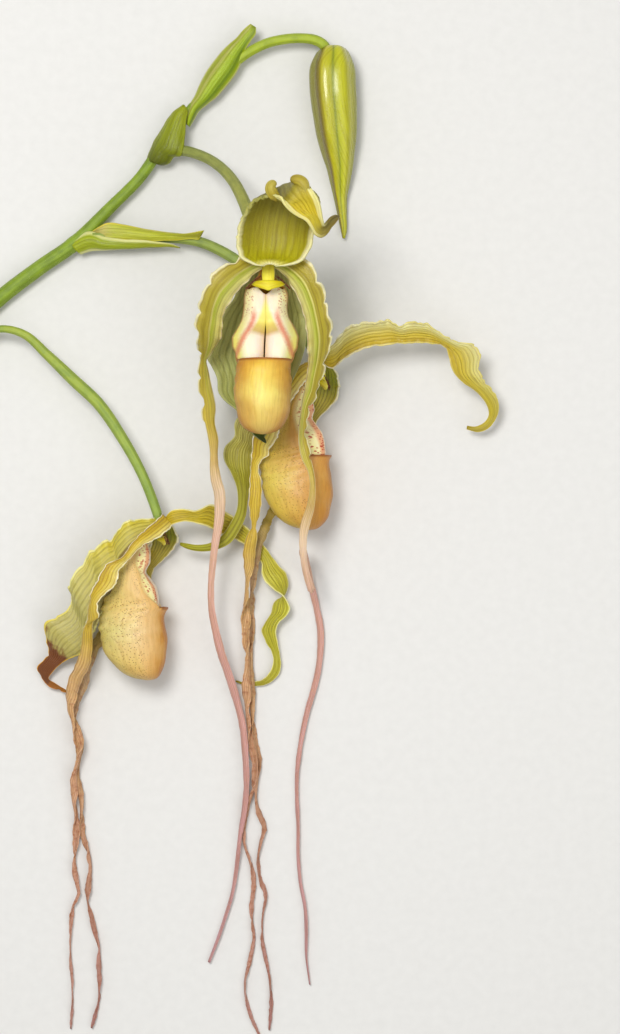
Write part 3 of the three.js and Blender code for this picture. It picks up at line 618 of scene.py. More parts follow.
# %% The stem
STEM = [
    [-196, -18.5, 3.6, 3.4], [-188, 7, 3.8, 3.4], [-179, 30.5, 4.2, 3.3], [-169.5, 50.5, 4.6, 3.3],
    [-153, 73, 5, 3.2], [-132, 93, 5, 3.2], [-115, 106, 5, 3.1], [-100, 116.5, 5.2, 3],
    [-85, 131.5, 5.4, 2.4], [-72.5, 144, 5.6, 2.3], [-64, 156, 5.8, 2.3], [-56, 166, 6, 2.1],
    [-50, 174, 6.2, 2], [-44.5, 179, 6.4, 1.9],
]
stem_finish = stem_tissue("green_stem_tissue", "#7F981E", "#88A020", "#5F751A")
stem, stem_rows, stem_normal, stem_side = rod("stem_surface", STEM, knots=[(76, 2, 0.08), (170, 2, 0.08)])
take_place(stem, "stem", stem_finish)

# %% [markdown]
# ## Stalks of the flowers
#
# Each flower hangs on a stalk of its own, and the upper part of that stalk is the ovary. The stalk of the
# flower in front rises from the stem towards the viewer, so its stations gain height quickly.

# %% Stalks of the flowers
STALKS = {
    "pedicel_ovary_a": [
        [-59.6, 155.2, 6.6, 1.8], [-54, 155.3, 9, 2.1], [-48, 153.3, 14, 2.1], [-40.5, 148.9, 22, 2.1],
        [-33, 141, 33, 2.2], [-27.5, 130.5, 44, 2.4], [-23.5, 119, 53, 2.5], [-20, 109, 58.5, 2.5],
        [-18, 104.2, 60.8, 2.5],
    ],
    "pedicel_ovary_b": [
        [-92.2, 118.9, 8.2, 1.9], [-81.5, 119.5, 7.4, 2], [-70, 119, 7, 2.1], [-58.5, 118.5, 8, 2.1],
        [-46.5, 116.5, 9, 2.1], [-34, 110.5, 11, 2.2], [-20.5, 100, 13, 2.3], [-8.5, 86.5, 15, 2.4],
        [-1, 75.5, 16, 2.4], [3.2, 66.6, 17, 2.2],
    ],
    "pedicel_ovary_c": [
        [-163.7, 49.6, 6.4, 1.6], [-156.5, 60.5, 7.6, 1.6], [-148, 69.5, 9, 1.5], [-140, 76, 10.5, 1.5],
        [-131, 79.5, 12, 1.5], [-120.5, 77, 13, 1.7], [-111, 68.5, 13.5, 2], [-100, 58, 14, 2.4],
        [-89, 47.5, 14.5, 2.4], [-79, 33, 15.5, 2.2], [-70.5, 17.5, 16.5, 2.0], [-64.4, 1.4, 16.5, 1.9],
        [-63.8, -1.6, 16.5, 1.7],
    ],
    "pedicel_bud": [
        [-44.1, 179.4, 6.4, 1.8], [-35, 189, 7, 1.9], [-30.5, 194, 7.5, 2], [-25.5, 197.5, 8, 2],
        [-18, 201, 8.5, 2], [-9.5, 202.7, 9, 2], [-2, 202.8, 9.5, 2], [2.4, 202, 9.7, 2.1],
        [5.2, 200.5, 9.6, 2.1], [6.8, 198.7, 9.4, 2], [7.4, 197.2, 9.2, 1.6],
    ],
}
STALK_COLOURS = {       # lower end, flower end, shade
    "pedicel_ovary_a": ("#8E964A", "#A09C48", "#767C3C"),
    "pedicel_ovary_b": ("#96A640", "#8E9E46", "#6C7E3C"),
    "pedicel_ovary_c": ("#A4AE32", "#92A844", "#748E3A"),
    "pedicel_bud": ("#A8B820", "#A4B42A", "#82941F"),
}
stalks = {}
for node, stations in STALKS.items():
    finish = stem_tissue(node + "_tissue", *STALK_COLOURS[node])
    piece, rows, normal, side = rod(node + "_skin", stations, rib_depth=0.05)
    stalks[node] = (rows, normal, side)
    take_place(piece, node, finish)

# %% [markdown]
# ## The bud
#
# The bud is closed: its sepals meet in seams that run from the stalk down to the long tip. It is a wide
# rod with a few shallow ribs, of which the grooves are the seams. The skin of a bud is waxy, so this is
# the one piece with a clear coat over its colour: the coat gives the two bright streaks beside a seam.

# %% The bud
BUD = [
    [9.9, 199.7, 9, 0.8, 0.8], [9.9, 199.2, 9, 3.4, 3.2], [9.9, 198.3, 9.2, 5.2, 4.8],
    [9.9, 197.1, 9.4, 6.3, 5.9],
    [9.8, 195.2, 9.7, 7.4, 7], [9.7, 193.3, 9.9, 8.2, 8], [9.6, 191.4, 10.1, 8.9, 8.6],
    [9.5, 188.8, 10.3, 9.4, 9.1], [9.6, 183.3, 10.4, 9.5, 9.2], [10.1, 176.6, 10.2, 9.4, 9.1],
    [10.7, 169.5, 9.7, 8.9, 8.6], [11.3, 162.4, 9, 8.3, 8], [11.9, 155.7, 7.9, 7.1, 6.9],
    [12.6, 149.1, 6.4, 5.6, 5.5], [12.8, 142.5, 4.9, 4.2, 4], [13, 135.9, 3.4, 2.8, 2.7],
    [13.7, 129.1, 2.6, 2, 1.9], [14.4, 122.7, 2.6, 1.4, 1.3], [14.4, 118.7, 2.6, 0.6, 0.5],
]
bud_finish_with_painted_shade = tissue(
    "bud_skin",
    [(0, "#CCC62A"), (0.3, "#D2CE1E"), (0.8, "#C6C220"), (1, "#9C9A1A")],
    "#A49C34", "#A8A020", veins=9, vein_strength=0.2, margin_strength=0.0, roughness=(0.22, 0.34),
    # Around the bud from its right side (0) over the top (0.25) to the left (0.5): the olive darkening
    # towards the right side and underneath is painted shade of the round body. The dark line at 0.25 follows
    # the seam's groove, and the brown at 0.35 to 0.41 and the olive-brown left side are the bud's own
    # colours.
    bands=[
        (0, "#8C9410"), (0.06, "#A4A414"), (0.12, "#BCBA16"), (0.2, "#C6C61A"), (0.235, "#B4B816"),
        (0.25, "#8F9A10"), (0.265, "#BCBC16"), (0.325, "#C0BA1A"), (0.352, "#8C7C12"), (0.385, "#78690F"),
        (0.41, "#8C8624"), (0.5, "#90902A"), (1, "#8C9410"),
    ],
    bands_until=1.6, coat=0.55,
)
bud, *_ = rod("bud_skin", BUD, sides=96, ribs=6, rib_depth=0.045)
take_place(bud, "bud", bud_finish_with_painted_shade)

# %% [markdown]
# ## Bracts
#
# A bract is the small leaf that shields a stalk where it leaves the stem. Its base clasps the stem and
# its blade is a boat around the stalk. The second one has split: its lower half hugs the stalk and its
# upper half stands off as a flap with golden edges. Bracts wilt first along their margins, so those are
# paler and browner than the rest.

# %% Bracts
BRACTS = {
    "bract_a": [
        [-62.5, 149.4, 6, -69.3, 151.9, 6, 2.6], [-59.7, 150.3, 7, -68.6, 154.3, 6, 3],
        [-57.7, 152.7, 8.5, -67.3, 157.2, 6.3, 3.2], [-54.6, 152.9, 10.5, -65.9, 160.2, 6.3, 3.2],
        [-53.5, 156.6, 11.5, -63.9, 163.3, 6.5, 3], [-53.1, 160.4, 11, -62.1, 166.2, 7, 2.6],
        [-52.6, 164.7, 10.4, -60.4, 168.9, 7.5, 2.2], [-52.4, 168.8, 10, -58.1, 171.7, 8, 1.7],
        [-51.9, 171.4, 9.6, -56, 173.2, 8.6, 1], [-52.5, 173.5, 9.4, -54.7, 174.1, 9, 0.5],
        [-53.3, 174.7, 9.2, -54, 174.8, 9.2, 0],
    ],
    "bract_b": [
        [-97.5, 111.7, 5.6, -101.8, 116.9, 6, 2.8], [-95.2, 112.5, 5.8, -99, 118.9, 6.8, 3],
        [-92.6, 113.1, 6.2, -94.6, 121, 8, 3], [-90.1, 113.3, 6.6, -91.4, 120.7, 8.8, 2.8],
        [-87.3, 113.3, 7, -87.7, 118.9, 9.6, 2.4], [-84.1, 113.5, 7.2, -84.3, 118.2, 10.2, 2],
        [-80.2, 113.8, 7.2, -80.2, 117.7, 10.6, 1.7], [-75.2, 114.1, 7, -75.1, 117.4, 10.8, 1.5],
        [-69.6, 114.6, 7, -69.2, 117.1, 10.8, 1.2], [-64.5, 114.8, 7, -64, 116.5, 10, 0.9],
        [-59.8, 114.7, 7.5, -59.6, 116, 9, 0.5], [-55.2, 114, 8, -55, 114.4, 8, 0],
    ],
    "bract_c": [
        [-162.3, 44.5, 5.6, -167.7, 48.5, 5.6, 2.8], [-157.5, 52.2, 6.2, -163.5, 56.8, 6.2, 3],
        [-151.3, 60.1, 7.6, -157.7, 64.9, 7.6, 2.6], [-144.6, 67.8, 9, -150.4, 72.2, 9, 2.2],
        [-138.1, 74.2, 10.6, -142.9, 77.8, 10.6, 1.4], [-133.1, 78.9, 11.8, -135.9, 81.1, 11.8, 0.6],
        [-131.2, 81.8, 12.2, -131.8, 82.2, 12.2, 0],
    ],
    "bract_bud": [
        [-51.2, 165.7, 6.2, -52.7, 166.8, 6.2, 1.6], [-49.5, 168.5, 6.2, -52.8, 169.5, 6.2, 2.4],
        [-47.3, 172.3, 6.4, -51.8, 172.9, 6.4, 3], [-44.6, 174.6, 6.5, -50.8, 175.7, 6.5, 3],
        [-42.5, 176.3, 6.6, -49.1, 178.4, 6.6, 3], [-39.7, 178.3, 7, -47, 183.2, 7, 3.2],
        [-36.7, 181.7, 7, -45.2, 186.8, 7, 3.4], [-33.8, 185.1, 7.2, -43.3, 190, 7.2, 3.4],
        [-31.4, 188.5, 7.5, -40.7, 193.5, 7.5, 3.2], [-29.5, 192.2, 7.8, -37.8, 197.1, 7.8, 2.8],
        [-28.4, 195.5, 8.4, -34.6, 200.2, 8.4, 2.3], [-27.1, 198.6, 9, -31.4, 202.8, 9, 1.6],
        [-25.2, 201.6, 9.8, -28.8, 205.7, 9.8, 0.9], [-23.1, 204.5, 10.2, -26.9, 207.5, 10.2, 0.5],
        [-22.9, 207.3, 10.4, -25.2, 208.8, 10.4, 0.2],
    ],
}
BRACT_FLAP = [
    [-92.1, 119.2, 7.8, -92.5, 121.1, 8, 0.2], [-89.5, 118.1, 8.4, -89.3, 123, 8.6, 0.6],
    [-86.7, 117.7, 8.8, -86.3, 124.5, 8.8, 0.9], [-83.9, 117.4, 9.2, -83.5, 124.6, 9, 1.2],
    [-80.9, 117.4, 9.6, -80.3, 124, 9.2, 1.5], [-77.9, 117.3, 9.8, -77.1, 123.4, 9.4, 1.8],
    [-72.9, 117.1, 10, -72, 122.3, 9.4, 1.8], [-67.8, 116.8, 10, -66.9, 121.4, 9.6, 1.6],
    [-61.8, 117.1, 10.4, -61.9, 120.6, 9.8, 1.3], [-57.6, 117.1, 11, -57.6, 120.1, 10, 1],
    [-53.3, 117.4, 11.2, -53.3, 119.8, 10.5, 0.6], [-49.7, 117.5, 11.5, -49.6, 120.3, 11, 0.3],
    [-47.1, 117.3, 11.6, -47, 120.9, 11.3, 0.1], [-46.4, 118.6, 11.8, -44.8, 121.2, 11.6, 0],
]
BRACT_COLOURS = {       # base, middle, tip, margin
    "bract_a": ("#5A6208", "#8C960E", "#9AA214", "#929A22"),
    "bract_b": ("#A2AE14", "#9CAA1C", "#B0B22C", "#E6E29C"),
    "bract_c": ("#90981A", "#98A020", "#AAA830", "#C6C070"),
    "bract_bud": ("#9CAC14", "#A8B62C", "#BABC60", "#D0CC88"),
}
# The dark green at 0.21 is a painted shadow under the start of the stalk. The brownish sides are the bract's
# own colour.
BRACT_FOLD_WITH_PAINTED_SHADOW = [      # across the bract of the bud: the stalk shows green between its brownish sides
    (0, "#A6B618"), (0.13, "#96AC12"), (0.21, "#6A8410"), (0.3, "#8CA40E"), (0.46, "#A4BC12"),
    (0.62, "#A6B626"), (0.74, "#B4B45E"), (0.84, "#9EA62C"), (1, "#A4B024"),
]
BRACT_MORE = {"bract_b": {"margin_from": 0.6}, "bract_bud": {"bands": BRACT_FOLD_WITH_PAINTED_SHADOW, "bands_until": 1.4}}
bract_finish = {
    node: tissue(
        node + "_tissue", [(0, base), (0.45, middle), (1, tip)], "#B4B464", margin,
        veins=6, vein_strength=0.25, margin_strength=0.7, roughness=(0.26, 0.4), **BRACT_MORE.get(node, {}),
    )
    for node, (base, middle, tip, margin) in BRACT_COLOURS.items()
}
for number, (node, stations) in enumerate(BRACTS.items()):
    piece = leaf(
        node + "_blade", stations, cells=28, step=0.8, ruffle=[(0, 0.1), (1, 0.3)], ruffle_length=9,
        rib_height=0.1, bead=0.15, seed=200 + number,
    )
    take_place(piece, node, bract_finish[node])
flap = leaf(
    "bract_b_flap", BRACT_FLAP, cells=28, step=0.8, ruffle=[(0, 0.3), (1, 0.3)], ruffle_length=11,
    rib_height=0.1, bead=0.3, seed=210,
)
take_place(flap, None, tissue(
    "golden_edged_tissue",
    [(0, "#9C8C3C"), (0.1, "#C4BA62"), (0.2, "#C2C648"), (0.7, "#BCC02C"), (1, "#A8A41A")],
    "#B4B464", [(0, "#E0C640"), (0.3, "#D8CC48"), (1, "#C8C034")], veins=5, vein_strength=0.3,
    margin_from=0.7, roughness=(0.26, 0.4),
))

# %% [markdown]
# ## Sepals
#
# Each flower has an upper sepal and a lower one, and the lower one is two sepals grown together. In the
# flower in front the upper sepal bends over like a hood. In the other two it is a long ribbon that reaches
# out to the right, twists and curls. They are leaves of the leaf function, set by pairs of edge points,
# since it is their outline that tells one from another. The hood's top has two curled ends, which are
# thicker than the blade and therefore rods of their own.

# %% Sepals
SEPALS = {
    "dorsal_sepal_a": [
        [-13.6, 100.4, 74, -18.4, 100.6, 74, -0.8], [-10.4, 100.5, 75, -21.6, 100.8, 75, -2.2],
        [-6.4, 101.3, 75.5, -24.6, 101.9, 75.5, -4.5], [-3.2, 102.8, 76, -27.2, 103.6, 76, -6.5],
        [-1, 105.7, 76.5, -28.8, 106.2, 76.5, -8.5], [0.6, 108.7, 77, -29.3, 109.1, 77, -9.5],
        [1, 111.5, 77.5, -29.2, 111.9, 77.5, -10], [1.6, 114.6, 78.5, -28.5, 115, 78.5, -10],
        [2.4, 117.6, 80, -27.5, 118, 80, -10], [3.2, 120.6, 82, -25.9, 120.6, 82, -9.5],
        [3.8, 123.5, 84.5, -24.4, 123.1, 84.5, -9], [3.6, 125.5, 87.5, -22.2, 125.3, 87.5, -8],
        [2.4, 127.1, 91, -18.9, 126.7, 91, -6], [0.8, 128.5, 94, -16.5, 127.3, 94, -3.5],
        [-0.4, 129.2, 97, -14.5, 127.4, 97, -0.8], [1, 127.9, 99.5, -12.5, 126.9, 99.5, 1.2],
        [2.7, 125.2, 100.5, -11.2, 125, 100.5, 2.6], [3.8, 122.2, 100, -10.2, 122.7, 100, 3.2],
        [4.4, 119.2, 98.5, -8, 120.2, 98.5, 3], [4.8, 116.8, 97, -4.7, 118, 97, 2.4],
        [5.1, 115.6, 95.5, -1.6, 116.4, 95.5, 2], [5.4, 115.1, 94, 0.4, 114, 94, 1.6],
        [5.7, 115.1, 92.5, 2.2, 111.3, 92.5, 1.3], [6.2, 115.7, 91, 4.5, 110.4, 91, 1.2],
        [7.1, 117, 89.5, 6.8, 111.9, 89.5, 1], [8.3, 118.5, 88, 8.6, 114.8, 88, 0.9],
        [9.5, 119.4, 86.5, 10.1, 116.5, 86.5, 0.7], [10.6, 119.9, 85, 11.2, 118.1, 85, 0.4],
        [11.2, 119.9, 84, 11.7, 119.2, 84, 0.1],
    ],
    "dorsal_sepal_b": [
        [6.0, 64.6, 18, 5.9, 69, 18, 0], [9.2, 62.3, 20, 10.7, 73.9, 23, 1],
        [14.4, 66.2, 22, 16.4, 79.9, 25, -1.2], [23.5, 70.8, 23, 24.7, 81.5, 26, -2],
        [29.3, 71.6, 23, 29.3, 81.9, 26, -2], [34.8, 72.5, 23, 33, 82.4, 25, -1.8],
        [39.4, 72.7, 22.5, 36.8, 80.3, 24.5, -1.6], [44.4, 73, 22, 43.5, 81.6, 24, -1.5],
        [50.4, 72.8, 21, 49.4, 80.9, 23, -1.2], [54.6, 72.3, 19.5, 56.2, 76.3, 22.5, -0.6],
        [57.2, 71.1, 18.5, 62.5, 73.2, 21, 0], [58.5, 67.3, 17.5, 68.5, 72.7, 19, 1],
        [59.4, 63.6, 16.5, 71.6, 68.2, 17.5, 1.6], [61.1, 60.3, 15.5, 71.2, 62.3, 16.5, 1.6],
        [65, 56.5, 14.5, 73.4, 57.8, 15, 1.2], [70.1, 53.2, 13, 76.4, 54.1, 13.5, 1],
        [74.5, 48.2, 11, 79.5, 49.1, 11.5, 1], [75.9, 43.7, 9, 79.5, 43.6, 9.5, 0.8],
        [74.2, 40.3, 8, 76.3, 38.2, 8.4, 0.5], [70.5, 38.4, 7, 71.7, 36.1, 7.4, 0.4],
        [66.7, 38.7, 6.5, 66.5, 37.2, 6.8, 0.2],
    ],
    "dorsal_sepal_c": [
        [-60.2, -4.2, 18, -61.8, -1.3, 18, 0], [-57.5, -2.9, 20, -58.3, 2.5, 21, 0.4],
        [-52.9, -1.9, 21, -52.8, 3.4, 22, -0.4], [-47.5, -2.7, 20, -47.4, 2.7, 21, -1],
        [-42.9, -4.2, 17, -42, 5.3, 19, -1.4], [-38, -6.8, 13, -36.3, 2.5, 15, -1.4],
        [-33, -8.9, 10, -30.4, -1.3, 12, -1.2], [-28, -11.5, 8, -24.6, -6.4, 9.5, -0.8],
        [-23.8, -14.9, 7, -20.4, -11, 7.5, 0], [-20.8, -19.1, 7, -16.8, -16.1, 6, 0.6],
        [-20.4, -24.2, 7.8, -12.8, -21.3, 5.5, 1], [-18.2, -28.4, 8.6, -9.8, -24.7, 5, 1],
        [-15.3, -30.9, 9, -9.6, -29.4, 4, 0.6], [-11.9, -32.9, 8.6, -11.1, -33.7, 2.8, 0],
        [-8.9, -36.9, 7.6, -14.9, -35.8, 2.2, -0.6], [-9.1, -40.8, 6.4, -16.6, -41.4, 2.2, -1],
        [-12.5, -44.4, 5.6, -19.8, -46, 2.2, -0.8], [-14.3, -47.6, 4.8, -20.5, -48.6, 2.6, -0.6],
        [-14, -52.4, 4, -18.7, -53.3, 3, -0.3], [-13, -57.5, 3, -16.2, -57.9, 3, 0],
        [-12.4, -62.7, 2.4, -16, -63.5, 3, 0], [-13.6, -67.4, 1.9, -17.9, -67.1, 2.6, 0],
        [-18.1, -71.2, 1.7, -21.3, -69.7, 2.2, 0], [-23.9, -72.2, 1.5, -24.3, -70.1, 1.9, 0],
        [-28.4, -71.7, 1.4, -28.2, -70.4, 1.4, 0], [-31.8, -70.3, 1.2, -31.6, -69.6, 1.2, 0],
    ],
    "synsepal_a": [
        [-22.5, 104, 57.5, -12, 104, 57.5, 0], [-27.5, 98.4, 51, -7.2, 98.4, 51, -2],
        [-31.3, 90.2, 43, -4.5, 89.4, 43, -3], [-37.2, 82.3, 38, -1.7, 81.5, 38, -3.5],
        [-41.1, 73.4, 35, -1.7, 72.6, 35, -3.5], [-43, 66.8, 33.5, -3.3, 66, 33.5, -3],
        [-40.7, 62.3, 33, -5, 61.5, 33, -3], [-38.6, 57.7, 33, -7.1, 56.9, 33, -3],
        [-38, 51.9, 33, -9.1, 50.7, 33, -2.5], [-35.3, 48.2, 33, -10.4, 46.5, 33, -2.2],
        [-30.7, 44.6, 33.5, -12, 42.8, 33.5, -1.8], [-26.6, 39.4, 34, -14.5, 37.8, 34, -1],
        [-24, 34.7, 35.5, -18.7, 33.4, 35.5, -0.3], [-21.5, 32.5, 36.5, -18.2, 31.8, 36.5, 0],
        [-19, 30.9, 37, -18, 30.6, 37, 0],
    ],
    "synsepal_b": [
        [3.4, 65.4, 15, 4.2, 62.8, 15, 0], [-4.2, 61.3, 13, 0.8, 56.2, 13, 0],
        [-12.7, 55.8, 13, -5.1, 48.6, 13, 1], [-20.3, 50.3, 13, -11, 42.7, 13, 1],
        [-27, 45.2, 13, -17.7, 38, 13, 1], [-31.7, 40.1, 13.5, -22.4, 33.8, 13.5, 1],
        [-31.9, 34.2, 13, -24.1, 30, 13, 1], [-35.9, 29.5, 14, -24.5, 26.2, 14, 1.2],
        [-36.3, 24.5, 14, -24.5, 21.1, 14, 1.5], [-33.4, 19, 13.5, -24.9, 16, 13.5, 1.5],
        [-31.3, 13.9, 13, -25.6, 11.4, 13, 1], [-30.4, 8.4, 13, -26.4, 6.8, 13, 0.8],
        [-31, 2.5, 13.5, -27.2, 0.4, 13.5, 0.8], [-33.8, -3, 14, -29.8, -5.5, 14, 0.8],
        [-37.3, -8, 14.5, -33.8, -11, 14.5, 0.8], [-42.2, -11, 14.5, -40.3, -13.9, 14.5, 0.7],
        [-47.7, -11.8, 13.5, -47.3, -14.4, 13.5, 0.6], [-52, -11.2, 12.5, -52.2, -13.3, 12.5, 0.5],
        [-54.8, -10.7, 12, -55, -12, 12, 0],
    ],
    "synsepal_c": [
        [-61.9, 0.8, 16, -60.7, -1.7, 16, 0], [-64.8, 0, 17, -63.2, -6.3, 17, 1],
        [-67.9, -1.1, 18.5, -66.4, -10.1, 18.5, 1.6], [-73.1, -1.1, 20, -70.6, -13.9, 20, 2],
        [-77.2, -2.1, 21, -73.9, -18, 21, 2], [-80.8, -5.5, 20.5, -76.4, -22.3, 20.5, 1.6],
        [-83.3, -9.5, 18.5, -79.1, -26.5, 18.5, 1], [-86.3, -10.1, 19.5, -81.5, -30.3, 19.5, 1],
        [-89.5, -12.6, 19.5, -83.6, -34, 19.5, 1.5], [-92.6, -14.5, 17.5, -85.9, -37.5, 17.5, 1],
        [-94.7, -18.5, 17.5, -87.5, -40.8, 17.5, 1], [-98, -22.3, 18, -88.8, -43.8, 18, 1],
        [-101.2, -27.4, 17.5, -90.1, -46.7, 17.5, 1], [-101.3, -31.6, 14.5, -91.6, -49.4, 14.5, 0.6],
        [-100.8, -35.9, 12.5, -93, -52, 12.5, 0.4], [-103.1, -40.2, 12.5, -94.3, -54.5, 12.5, 0.6],
        [-107.8, -42.7, 12.5, -95.3, -56.6, 12.5, 0.8], [-111.6, -44.8, 12, -96.8, -58.1, 12, 0.8],
        [-112.1, -50.9, 9, -100.9, -59.6, 9, 0.5], [-110.7, -56.5, 6.5, -104.5, -61.4, 6.5, 0.3],
        [-113.5, -61.2, 5.5, -107.6, -63.8, 5.5, 0.3], [-115.8, -64.5, 4.2, -109.8, -66.2, 4.2, 0.3],
        [-113.9, -68.6, 3.6, -111.4, -68.8, 3.6, 0], [-110.7, -72.1, 3.4, -109, -70.5, 3.4, 0],
        [-106.9, -73.7, 3.6, -106.2, -72.2, 3.6, 0], [-103.7, -74.6, 3.8, -103.7, -73.7, 3.8, 0],
    ],
}
sepal_finish = {
    # Hood: the darkening from the lower rim up into the crest (olive-brown from share 0.16 to 0.52, and the
    # duller margin there) is painted shade inside the bowl. The wider pale rim over the flap is partly the
    # sepal's pale margin and partly a painted highlight.
    "dorsal_sepal_a": tissue(
        "hood_tissue",
        [(0, "#EEE8B4"), (0.012, "#D8D068"), (0.028, "#BAB418"), (0.16, "#A69C24"), (0.3, "#928830"),
         (0.42, "#7E7628"), (0.52, "#8C8228"), (0.58, "#C0AE2C"), (0.68, "#D2BC26"), (0.78, "#D4C23A"),
         (0.86, "#96883A"), (1, "#86763A")],
        "#C2B448", [(0, "#F0EAB8"), (0.2, "#E8E0A0"), (0.32, "#B4B05C"), (0.46, "#A4A048"), (0.54, "#EAE498"),
                    (0.78, "#EAE29A"), (1, "#A89C50")],
        veins=8, vein_strength=0.3, margin_from=0.86, rim_and_highlight_gain=0.16, margin_until=0.82,
    ),
    "dorsal_sepal_b": tissue(
        "ribbon_sepal_tissue", [(0, "#C9B83C"), (0.5, "#D8C852"), (0.8, "#D2C23C"), (1, "#B8A228")],
        "#A89234", [(0, "#F8F2D2"), (0.14, "#F4ECC0"), (0.3, "#E2D47C"), (1, "#D8C858")], veins=7,
        vein_strength=0.34,
        roughness=(0.26, 0.42), margin_strength=0.8,
        bands=[(0, "#C4A82E"), (0.4, "#CDB83A"), (0.62, "#D8CC70"), (0.85, "#E2DC98"), (1, "#E8E2B0")],
        bands_until=0.9,
    ),
    "dorsal_sepal_c": tissue(
        "twisted_sepal_tissue",
        [(0, "#D2B62E"), (0.25, "#CDBE3C"), (0.6, "#C4C03A"), (0.85, "#C2B92E"), (1, "#A8960E")],
        "#A8A040", "#F0EAA8", veins=6, vein_strength=0.5, roughness=(0.26, 0.42),
    ),
    # The dark olive at the tip, from share 0.88 on, is painted shade where the tip lies under the toe of the
    # pouch.
    "synsepal_a": tissue(
        "shaded_sepal_tissue",
        [(0, "#BCBE74"), (0.6, "#B2B668"), (0.88, "#969C44"), (0.94, "#56641E"), (1, "#3E4A14")],
        "#9A9C6C", "#BABC84", veins=14, vein_strength=0.4, margin_strength=0.4,
    ),
    "synsepal_b": tissue(
        "hanging_sepal_tissue", [(0, "#A89E48"), (0.4, "#B0A650"), (0.55, "#AAA42C"), (1, "#AEAA1C")],
        "#948C50", "#D0CC88", veins=12, vein_strength=0.45, margin_strength=0.6,
    ),
    "synsepal_c": tissue(
        "faded_sepal_tissue_with_painted_shade",
        [
            (0, "#DCC82E"), (0.14, "#D6C640"), (0.26, "#D2CA74"), (0.6, "#C6BE74"), (0.8, "#BCAE5C"),
            (0.93, "#A8641E"), (1, "#C07A22")
        ],
        "#A89E4C", [(0, "#F0EBA8"), (0.5, "#ECE494"), (0.7, "#E2CE54"), (0.8, "#DCA428"), (1, "#CC7A1C")],
        veins=9, vein_strength=0.45,
        roughness=(0.26, 0.42), margin_strength=0.95, margin_from=0.89,
        # Across the sepal, the margin that runs under the near petal turns brown from 0.62 on. This is partly
        # the sepal's own brown fold and partly painted shade from the petal above.
        bands=[(0, "#DCCB3C"), (0.3, "#D4C85C"), (0.52, "#CFC468"), (0.62, "#8E7642"), (1, "#5E4A28")],
        bands_until=0.52,
        blotch="#75431F", blotch_side=-0.14,
        blotch_stops=[
            (0, "#000000"), (0.64, "#000000"), (0.7, "#8C8C8C"), (0.76, "#C4C4C4"), (0.82, "#FFFFFF"),
            (0.9, "#FFFFFF"), (0.95, "#404040"), (1, "#000000"),
        ],
    ),
}
SEPAL_WAVES = {      # ruffle along the piece in mm, its length in mm, and lobes of both edges
    "dorsal_sepal_a": ([(0, 0), (0.1, 0.5), (0.5, 0.9), (0.6, 0)], 4, (0.1, 0.8)),
    "dorsal_sepal_b": ([(0, 0), (0.08, 1.2), (0.45, 1.2), (0.6, 0.3), (0.8, 0)], 7, (0.1, 1.1)),
    "dorsal_sepal_c": ([(0, 0), (0.1, 0.6), (0.5, 0.5), (0.8, 0.1), (1, 0)], 9, (0.2, 0.3)),
    "synsepal_a": ([(0, 0), (0.2, 0.4), (1, 0)], 9, (0, 0)),
    "synsepal_b": ([(0, 0), (0.15, 0.8), (0.6, 0.4), (0.7, 0)], 9, (0, 0)),
    "synsepal_c": ([(0, 0), (0.1, 0.9), (0.6, 0.9), (0.9, 0.2)], 8, (1.1, 0.1)),
}
HORN_RISE, NOTCH_DEPTH = 1.6, 4.4       # millimetres


def hood_crest(across, number):
    """A blunt rise on one side of the hood's top fold and a notch on the other, in millimetres."""
    horn = HORN_RISE * np.exp(-((across + 0.47) / 0.36) ** 4)
    notch = NOTCH_DEPTH * np.exp(-((across - 0.5) / 0.45) ** 2)
    rise = horn * np.exp(-((number - 14) / 1.25) ** 2) - notch * np.exp(-((number - 13.7) / 2.5) ** 2)
    return np.stack([0 * rise, rise, 0.3 * rise], 2)


for number, (node, stations) in enumerate(SEPALS.items()):
    ruffle, wave, lobes = SEPAL_WAVES[node]
    hood = node == "dorsal_sepal_a"
    piece = leaf(
        node + "_blade", stations, cells=44, step=0.9, ruffle=ruffle, ruffle_length=wave, scallop=lobes,
        rib_height=0.12, bead=0.7 if hood else 0.15, mould=hood_crest if hood else None,
        seed=20 + 10 * number,
    )
    take_place(piece, node, sepal_finish[node])

HORNS = {       # the curled ends of the hood's top fold
    "hood_horn_left": [
        [-12.6, 124.8, 94, 1], [-13.4, 126, 94.6, 1.9], [-14.6, 127.4, 95.2, 2.3], [-15.2, 129, 95.8, 2.4],
        [-14.8, 130.3, 96, 2.2], [-13.8, 130.9, 96, 1.5], [-13.2, 130.9, 95.8, 0.5],
    ],
    "hood_horn_right": [
        [-7.4, 131.5, 97, 0.5], [-6.9, 131.9, 97, 1.5], [-5.7, 132.3, 97.4, 2], [-4.1, 131.9, 98, 2.2],
        [-2.8, 130.9, 98.4, 2.2], [-1.9, 129.5, 98.6, 1.8], [-1.4, 127.9, 98.6, 0.9],
    ],
}
horn_finish = tissue(
    "horn_tissue", [(0, "#A08E26"), (0.4, "#B4A232"), (1, "#BCAE4C")], "#B09A44", "#CDC052",
    veins=6, vein_strength=0.2, margin_strength=0.0,
)
for name, stations in HORNS.items():
    piece, *_ = rod(name, stations, step=0.4, ribs=3, rib_depth=0.06)
    take_place(piece, None, horn_finish)

# %% [markdown]
# ## Petals
#
# The petals are the mark of this plant: broad and wavy at the flower, then drawn out into tails as long
# as a forearm. Those of the youngest flower are fresh and smooth. Those of the older two flowers have
# dried, so their tails are creased, twisted and flecked with brown. The twist is one number for the whole
# tail, and the creases are the same low noise that moves the middle line and the width a little.

